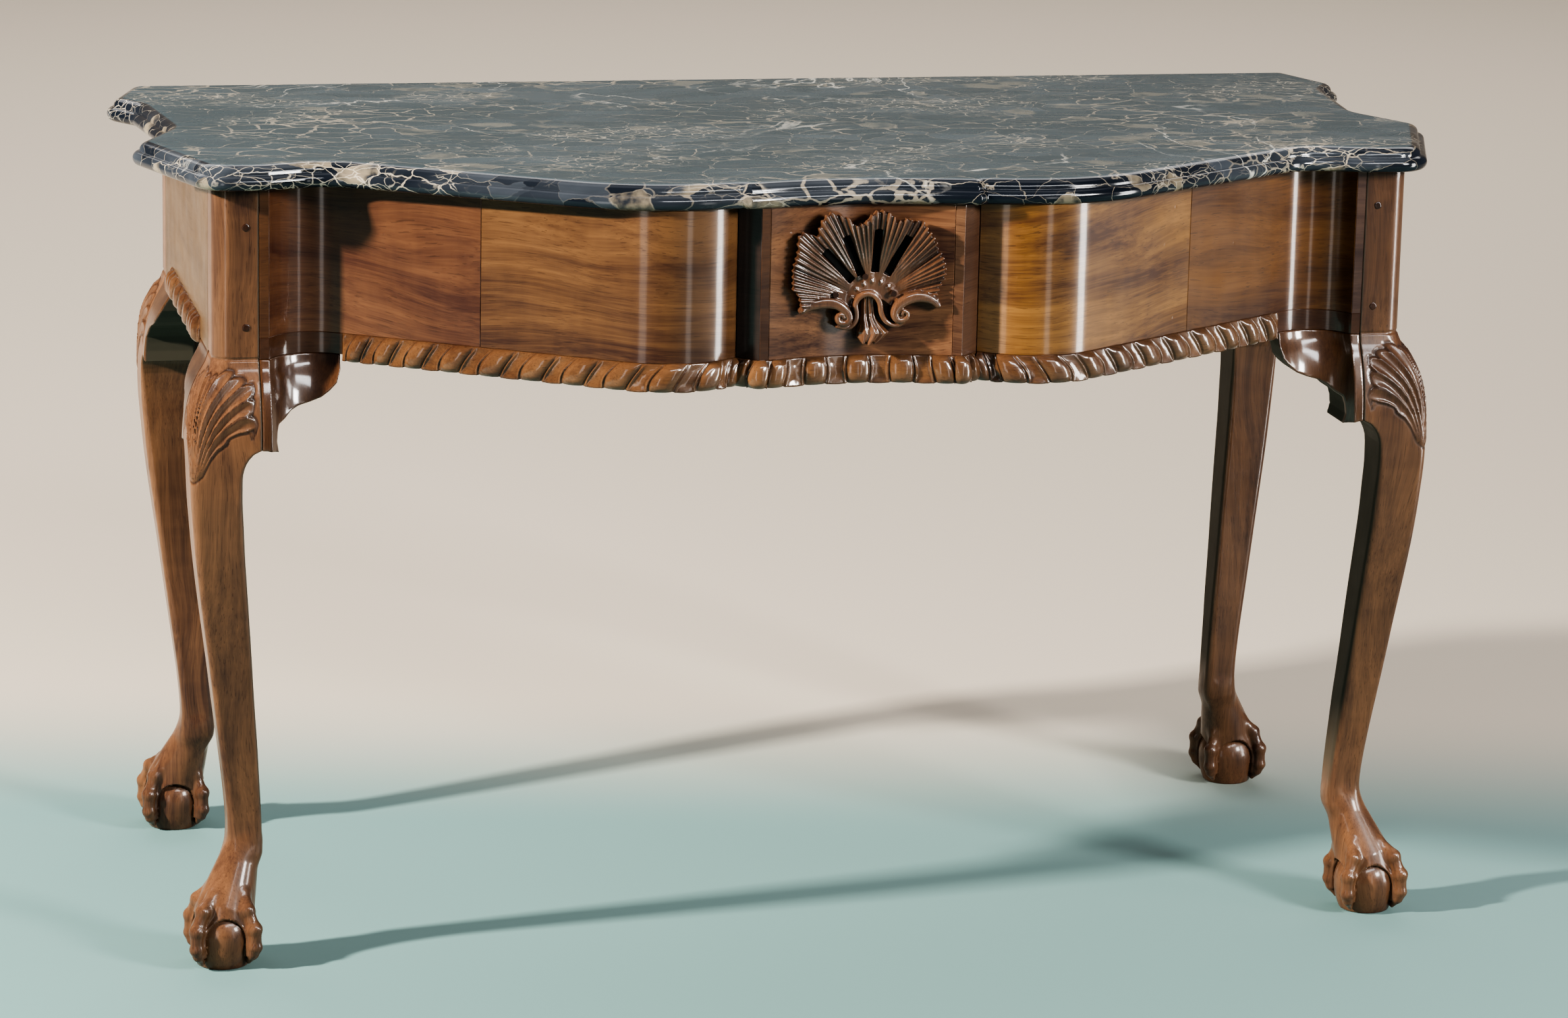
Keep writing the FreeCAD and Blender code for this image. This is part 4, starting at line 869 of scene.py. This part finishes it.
def carved_strip(name, line, outward, along, lean, stands_for, blunt=(True, True)):
    """Carved edge moulding swept along plan points with their outward directions."""
    section = []
    for step in range(25):
        share = step / 24
        proud = 0.2 + 5.0 * math.sin(math.pi * (0.02 + 0.74 * share)) ** 0.8
        section.append((proud, VENEER_FOOT - 27.4 * share, share, 1.0))
    section += [(-3.0, 637.0, 1.0, 0.0), (-3.0, VENEER_FOOT, 0.0, 0.0)]
    points, out, held = [], [], {"along": [], "down": [], "carve": [], "lean": []}
    turns = np.interp(np.abs(along), *zip(*lobe_edges)) * np.sign(along)
    for i in range(len(line)):
        near_end = 1.0
        for blunted, gap in ((blunt[0], along[i] - along[0]), (blunt[1], along[-1] - along[i])):
            if blunted:
                near_end = min(near_end, math.sqrt(max(0, 1 - (1 - min(1, gap / 9)) ** 2)) * 0.9 + 0.1)
        for proud, z, share, carve in section:
            reach = proud * near_end if carve else proud
            points.append((*(line[i] + outward[i] * reach), z))
            for word, value in zip(held, (turns[i], share, carve * min(1, near_end), lean[i])):
                held[word].append(value)
            tilt = (share - 0.5) * 1.1
            out.extend((outward[i][0] * math.cos(tilt), outward[i][1] * math.cos(tilt), -math.sin(tilt)))
    mesh = millimetre_mesh(name, points, ring_faces(len(line), len(section)))
    for word, values in held.items():
        mesh.attributes.new(word, "FLOAT", "POINT").data.foreach_set("value", values)
    mesh.attributes.new("out", "FLOAT_VECTOR", "POINT").data.foreach_set("vector", out)
    blank = bpy.data.objects.new(name + "_blank", mesh)
    bpy.context.scene.collection.objects.link(blank)
    cutter = blank.modifiers.new("carved lobes", "NODES")
    cutter.node_group = lobes_tree
    sockets = {item.name: item.identifier for item in lobes_tree.interface.items_tree if item.in_out == "INPUT"}
    cutter[sockets["Material"]] = carved_wood
    evaluated = blank.evaluated_get(bpy.context.evaluated_depsgraph_get())
    carved = bpy.data.meshes.new_from_object(evaluated)
    carved.shade_smooth()
    blank.modifiers.clear()
    bpy.data.objects.remove(blank)
    solid = bmesh.new()
    solid.from_mesh(carved)
    bmesh.ops.recalc_face_normals(solid, faces=solid.faces)
    solid.to_mesh(carved)
    solid.free()
    place_piece(name, carved, (stands_for,))


middle_run = np.interp(0, front_line[:, 0], steps_along)
for name, left, right in (("left_front_gadroon", -500, -125), ("centre_front_gadroon", -125, 125),
                          ("right_front_gadroon", 125, 500)):
    runs = front_runs(left, right, 0.55)
    away = runs - middle_run
    lean = np.sign(away) * smooth_step(30, 150, np.abs(away))
    carved_strip(name.replace("_front", "_carved"), *front_at(runs), away, lean, name,
                 (name.startswith("left"), name.startswith("right")))
for side, word in sides:
    runs = np.linspace(0, 278, 500)
    line = np.column_stack([np.full(len(runs), side * SIDE_FACE), -61.6 + runs])
    outward = np.column_stack([np.full(len(runs), float(side)), np.zeros(len(runs))])
    carved_strip(f"{word}_carved_side_gadroon", line, outward, runs - 139, np.full(len(runs), -0.35 * side),
                 f"{word}_side_gadroon")

# ---------------------------------------------------------------- knee brackets
# Mahogany blocks glued and nailed under the rails beside each leg: a round lobe
# and a pointed spur in elevation, the face hollowed and swelling on from the
# knee.  Undersides and backs are left raw and have gone grey.
bracket_outline = [(0, 643), (85, 643), (84.6, 628), (80.5, 615), (73.5, 607), (64.6, 600), (53, 595.5),
                   (41, 592.4), (33, 588.5), (25.5, 581), (19.0, 577), (17.4, 570), (16.6, 560), (18.6, 548.2),
                   (12.5, 550.6), (5, 552.6), (0, 552.8)]


def from_outline(u, w, outline):
    """Signed distance to a closed outline, negative inside."""
    best = np.full(u.shape, 1e9)
    inside = np.zeros(u.shape, bool)
    for (u0, w0), (u1, w1) in zip(outline, outline[1:] + outline[:1]):
        du, dw = u1 - u0, w1 - w0
        t = np.clip(((u - u0) * du + (w - w0) * dw) / (du * du + dw * dw), 0, 1)
        best = np.minimum(best, np.hypot(u - u0 - t * du, w - w0 - t * dw))
        if w0 != w1:
            inside ^= ((w0 > w) != (w1 > w)) & (u < u0 + (w - w0) * du / dw)
    return np.where(inside, -best, best)


def bracket_skin(reach, depth_at, thick=30.0, arris=1.5, grain=1.1):
    """Bracket in its own axes: u from the leg, depth behind the leg's plane, height."""
    us, ds, ws = (np.arange(low, high, grain)
                  for low, high in ((-2.0, reach + 3.0), (-30.0, 86.0), (540.0, 646.0)))
    u, d, w = np.meshgrid(us, ds, ws, indexing="ij")
    flat = from_outline(u[:, 0, :] * 85.0 / reach, w[:, 0, :], bracket_outline)[:, None, :]
    swell = (eased(ws, outer_profile) - POST_FACE)[None, None, :]
    back = depth_at(us)[:, None, None]
    slope = np.sqrt(1 + np.gradient(depth_at(us), us) ** 2)[:, None, None]
    body = np.maximum((back - swell - d) / slope, (d - back - thick) / slope)
    edge = np.hypot(np.maximum(body + arris, 0), np.maximum(flat + arris, 0)) - arris
    field = np.maximum(np.maximum(np.maximum(body, flat), edge), np.maximum(-u, w - KNEE_TOP))
    points, quads = skin_of(lambda *_: field, us, ds, ws)
    swell_there = eased(points[:, 2], outer_profile) - POST_FACE
    raw = smooth_step(1.5, 3.0, points[:, 1] - (np.interp(points[:, 0], us, depth_at(us)) - swell_there))
    return points, quads, raw


def apron_depth(u):
    """How far the shaped front lies behind the posts, going inward from a post."""
    part = front_line[front_line[:, 0] > 480]
    return np.interp(POST_INNER - u, part[:, 0], part[:, 1]) - POST_PLANE


bracket_wood = mahogany("bracket mahogany", (0.143, 0.067, 0.031), (0.039, 0.0152, 0.0081), 0.5,
                        slide=(0.6, 0, 0), raw=True, coat=0.8)
points, quads, raw = bracket_skin(85.0, apron_depth)
for side, word in sides:
    placed = np.column_stack([side * (POST_INNER - points[:, 0]), points[:, 1] + POST_PLANE, points[:, 2]])
    turned = quads if side < 0 else quads[:, ::-1]
    new_piece(f"{word}_carved_front_bracket", placed, turned, bracket_wood, "mahogany",
              (f"{word}_front_bracket",), raw=raw)
points, quads, raw = bracket_skin(72.0, lambda u: 0 * u)
for side, word in sides:
    for end, start, toward in (("front", -135.6, 1), ("back", 290.4, -1)):
        placed = np.column_stack([side * (SIDE_FACE - points[:, 1]), start + toward * points[:, 0],
                                  points[:, 2]])
        turned = quads if side * toward > 0 else quads[:, ::-1]
        new_piece(f"{word}_carved_side_{end}_bracket", placed, turned, bracket_wood, "mahogany",
                  (f"{word}_side_{end}_bracket",), raw=raw)

# ---------------------------------------------------------------- shell
# Scallop carved from one block of mahogany and undercut, glued and pinned to the
# dished panel: fine flutes in ribs that spread from a hooded arch, four slots
# cut through, lips that roll into scrolls and a fluted leaf hanging below.
# The slots stop just short of the panel and their floors carry a near-black painted
# shadow; the flute troughs, slot walls and the undercut towards the panel get painted shade.
fan_x, fan_z = 13.0, 720.0
shell_rim = [(-20, 62), (-1, 66.3), (7, 64.7), (14, 69.7), (20, 76.4), (26, 79.7), (33, 83.2), (41, 84.5),
             (45, 87.5), (55, 92), (61.5, 97.0), (65, 91.9), (69.5, 92.8), (73, 89.7), (76.5, 86.5),
             (80.5, 92.8), (86, 95.1), (90.5, 94.5), (95, 88.8), (98, 84.3), (103, 83.8), (105.5, 83),
             (107.5, 91.9), (113, 98.6), (117, 105.9), (122.5, 103.7), (128, 98), (131, 91.5), (133, 101.5),
             (136, 106.6), (140, 105.7), (145, 98.5), (151.5, 94.3), (156, 92.7), (162, 89.5), (169, 86.5),
             (173, 79), (182, 75.5), (200, 70)]
shell_slots, shell_valleys = [133.6, 114.2, 88.0, 64.1], [156.0, 40.0, 17.0]
lower_edge = [(-75, 708), (-62, 714), (-54, 719), (-40, 722), (-25, 720), (-10, 714), (0, 724), (13, 728),
              (24, 722), (35, 714), (43.5, 722), (58, 727), (73, 723), (90, 712)]
left_lip = [(-62, 714.5, 3.4), (-54, 719.5, 4.6), (-40, 722.5, 5.4), (-26, 721, 5.4), (-15.5, 713.5, 4.6),
            (-12, 705, 4.0), (-17.5, 700, 3.6), (-24.5, 703, 3.2), (-25.5, 709, 2.8), (-20.5, 710.5, 2.6),
            (-19, 707, 2.6)]
right_lip = [(79, 717.5, 3.0), (72.5, 724, 4.6), (58, 727.5, 5.4), (44, 723.5, 5.4), (35, 715.5, 4.6),
             (33.5, 707, 4.0), (39, 702, 3.6), (46.5, 705, 3.2), (47.5, 711, 2.8), (42.5, 713.5, 2.6),
             (41, 709.5, 2.6)]
arch_line = [(-25, 697.5, 1.8), (-14, 694.8, 2.4), (-6, 700.5, 2.6), (-4.3, 710, 2.6), (-7, 719, 2.8),
             (-3.6, 726, 2.8), (3.3, 730.5, 3.0), (12.5, 729.6, 3.0), (19.2, 722, 2.8), (20.5, 709.5, 2.6),
             (26, 700.5, 2.6), (36.5, 696.2, 2.4), (44.5, 700, 1.8)]
leaf_width = [(678, 8), (682, 11.5), (687, 14.5), (691, 16.0), (695, 13.0), (701, 9.6), (708, 7.8), (716, 7.4),
              (728, 6.5)]
leaf_centre = [(678, 7), (684, 10.5), (690, 13.5), (696, 11.5), (704, 9.0), (720, 8.2)]


def shell_wall(x, z, line):
    """Distance in the panel's plane to a tapering line, its corners cut round."""
    for _ in range(2):
        line = np.array(line)
        near, far = line[:-1] * 0.75 + line[1:] * 0.25, line[:-1] * 0.25 + line[1:] * 0.75
        line = np.concatenate([line[:1], np.stack([near, far], 1).reshape(-1, 3), line[-1:]])
    best = np.full(x.shape, 1e9)
    for (x0, z0, r0), (x1, z1, r1) in zip(line, line[1:]):
        dx, dz = x1 - x0, z1 - z0
        t = np.clip(((x - x0) * dx + (z - z0) * dz) / (dx * dx + dz * dz), 0, 1)
        best = np.minimum(best, np.hypot(x - x0 - t * dx, z - z0 - t * dz) - (r0 + (r1 - r0) * t))
    return best


def shell_surface(x, z):
    """Front of the fan, its rim, its slots and its hollows over the panel's plane."""
    reach = np.hypot(x - fan_x, z - fan_z)
    angle = np.degrees(np.arctan2(z - fan_z, x - fan_x))
    angle = np.where(angle < -90, angle + 360, angle)
    flute = np.cos(2 * math.pi * angle / 3.75)
    rim = np.interp(angle, *zip(*shell_rim)) * (1 + 0.013 * flute)
    valley = np.zeros(x.shape)
    for middle in shell_slots + shell_valleys:
        valley = np.maximum(valley, np.exp(-((angle - middle) / 4.6) ** 2))
    widen = smooth_step(18, 80, reach)
    front = -343.0 - 15.0 * smooth_step(12, 96, reach) ** 1.1
    front = front + 3.4 * valley * smooth_step(22, 60, reach) - 1.25 * widen * flute
    front = front - 1.2 * smooth_step(30, 20, reach)
    knobs = np.exp(-((reach - 22) / 2.6) ** 2) * np.maximum(0, np.cos(2 * math.pi * angle / 23.5))
    front = np.maximum(front - 1.6 * knobs, -360.5)
    slot = np.full(x.shape, 9.0)
    for middle in shell_slots:
        cx, cz = math.cos(math.radians(middle)), math.sin(math.radians(middle))
        run = (x - fan_x) * cx + (z - fan_z) * cz
        side = np.abs((z - fan_z) * cx - (x - fan_x) * cz)
        slot = np.minimum(slot, np.maximum(side - 3.9, np.abs(run - 54) - 22.5))
    groove = widen * (0.5 - 0.5 * flute) * 0.75 + 0.35 * valley * widen
    return front, reach - rim, slot, groove


def shell_panel(x):
    """Face of the dished panel behind the shell."""
    dish_half, dish_radius, dish_middle, clear = 78.5, 295.0, -630.65, 0.4
    dished = dish_middle + np.sqrt(np.maximum(dish_radius ** 2 - x ** 2, 0))
    beside = -324.6 - np.abs(x) * 29 / 105
    return np.where(np.abs(x) < dish_half, dished, beside) + clear


def shell_distance(x, y, z):
    """Distance field of the whole carving."""
    flat_x, flat_z = x[:, 0, :], z[:, 0, :]
    front, edge, slot, _ = (part[:, None, :] for part in shell_surface(flat_x, flat_z))
    panel = shell_panel(x)
    lower = (np.interp(flat_x, *zip(*lower_edge)) - flat_z)[:, None, :]
    back = np.minimum(panel, front + 9 + np.where((edge < -45) | (slot < 2.5), 30, 0))
    body = np.maximum(np.maximum((front - y) * 0.8, y - back), np.maximum(edge, lower * 0.8))
    body = np.maximum(body, -np.maximum(slot, y - panel + 1.6))
    lines = None
    for line, level, size in ((left_lip, -351.0, 3.6), (right_lip, -352.0, 3.6), (arch_line, -349.0, 2.6)):
        flat = shell_wall(flat_x, flat_z, line)[:, None, :]
        wall = np.hypot(np.maximum(flat + size, 0), np.maximum(level - y, 0)) - size
        lines = wall if lines is None else melt(lines, wall, 1.0)
    width = np.interp(flat_z, *zip(*leaf_width))
    from_centre = flat_x - np.interp(flat_z, *zip(*leaf_centre))
    dish = (from_centre / width) ** 2
    flutes = np.cos(from_centre / width * math.pi * 3.1)
    leaf_front = (-346.0 - 7.5 * smooth_step(712, 690, flat_z) - 1.3 * flutes + 3.5 * dish)[:, None, :]
    tip = 679.5 - 1.8 * flutes + 3.0 * dish
    leaf = np.maximum(np.abs(from_centre) - width, np.maximum(tip - flat_z, flat_z - 728))[:, None, :]
    leaf = np.maximum(leaf, np.maximum((leaf_front - y) * 0.8, y - panel))
    return np.maximum(melt(np.minimum(body, leaf), lines, 1.2), y - panel)


shell_grain = 0.87
shell_grid = [np.arange(low, high, shell_grain)
              for low, high in ((-77.0, 90.0), (-361.5, -328.0), (675.0, 819.0))]
shell_points, shell_quads = skin_of(shell_distance, *shell_grid)
sx, sy, sz = shell_points.T
shell_front, shell_edge, shell_slot, shell_groove = shell_surface(sx, sz)
over_fan = (shell_edge < 0.5) & (sz > np.interp(sx, *zip(*lower_edge)) - 1)
# Painted shade: flute troughs, slot walls and the parts nearest the panel are darkened.
shell_painted_shade = np.where(over_fan & (sy < shell_front + 3), shell_groove, 0.0)
in_wall = over_fan & (shell_slot < 0.8) & (sy > shell_front + 0.9)
shell_painted_shade = np.maximum(shell_painted_shade, np.where(in_wall, 1.25, 0.0))
shell_painted_shade = np.maximum(shell_painted_shade, 0.85 * smooth_step(-344, -338, sy))
shell_wood = mahogany("shell mahogany", (0.190, 0.090, 0.046), (0.050, 0.0215, 0.0140), 0.5, hollow=True,
                      coat=1.0)
# Near-black material on the slot floors is a painted shadow.
slot_painted_shadow = mahogany("painted slot shadow", (0.006, 0.004, 0.003), (0.003, 0.002, 0.002), 0.3, coat=0.0)
shell = new_piece("carved_shell", shell_points, shell_quads, shell_wood, "mahogany", ("shell_ornament",),
                  hollow=shell_painted_shade)
shell.data.materials.append(slot_painted_shadow)
in_slot = ((shell_slot < 1.2) & (sy > shell_front + 1.2))[shell_quads].all(axis=1)
shell.data.polygons.foreach_set("material_index", in_slot.astype(np.int32))

# ---------------------------------------------------------------- pegs and nails
# Tapered pegs lock the rail tenons in the front posts: riven square, driven into
# round holes, cut off almost flush, their end grain darker.  The brackets' nails
# are hand-cut iron, rusted black; the shell's hidden dowels match the pegs.
peg_wood = mahogany("peg end grain", (0.055, 0.023, 0.013), (0.015, 0.0057, 0.0034), 0.7, turn=(90, 0, 0),
                    coat=0.3)
peg_profile = ((0.0, -183.05), (2.6, -183.05), (3.9, -182.85), (4.3, -182.2), (3.6, -150.0), (0.0, -150.0))
peg_across, peg_sides = 600.5, 20
peg_points, peg_faces = [], []
for side, up in ((-1, 676.0), (-1, 779.0), (1, 672.5), (1, 781.0)):
    rings = []
    for reach, y in peg_profile:
        steps = peg_sides if reach else 1
        rings.append([len(peg_points) + step % steps for step in range(peg_sides)])
        for step in range(steps):
            angle = 2 * math.pi * step / peg_sides
            size = reach * (1 + 0.06 * math.cos(4 * angle + up))
            peg_points.append((side * peg_across + size * math.cos(angle), y, up + size * math.sin(angle)))
    for ring, following in zip(rings, rings[1:]):
        for step in range(peg_sides):
            after = (step + 1) % peg_sides
            corners = (ring[step], following[step], following[after], ring[after])
            peg_faces.append(tuple(dict.fromkeys(corners)))
new_piece("front_pegs", peg_points, peg_faces, peg_wood, "mahogany", ("front_tenon_pegs",))

iron, iron_tree, iron_shader = new_material("rusted iron")
rust = noise(grown(iron_tree, "ShaderNodeTexCoord", "Object"), 600, 4)
plug(iron_shader, {"Base Color": tinted(rust, (0.025, 0.018, 0.015), (0.09, 0.035, 0.015)), "Metallic": 0.6,
                   "Roughness": 0.7})
dress(iron, "bracket_nails")
dress(peg_wood, "shell_pins")
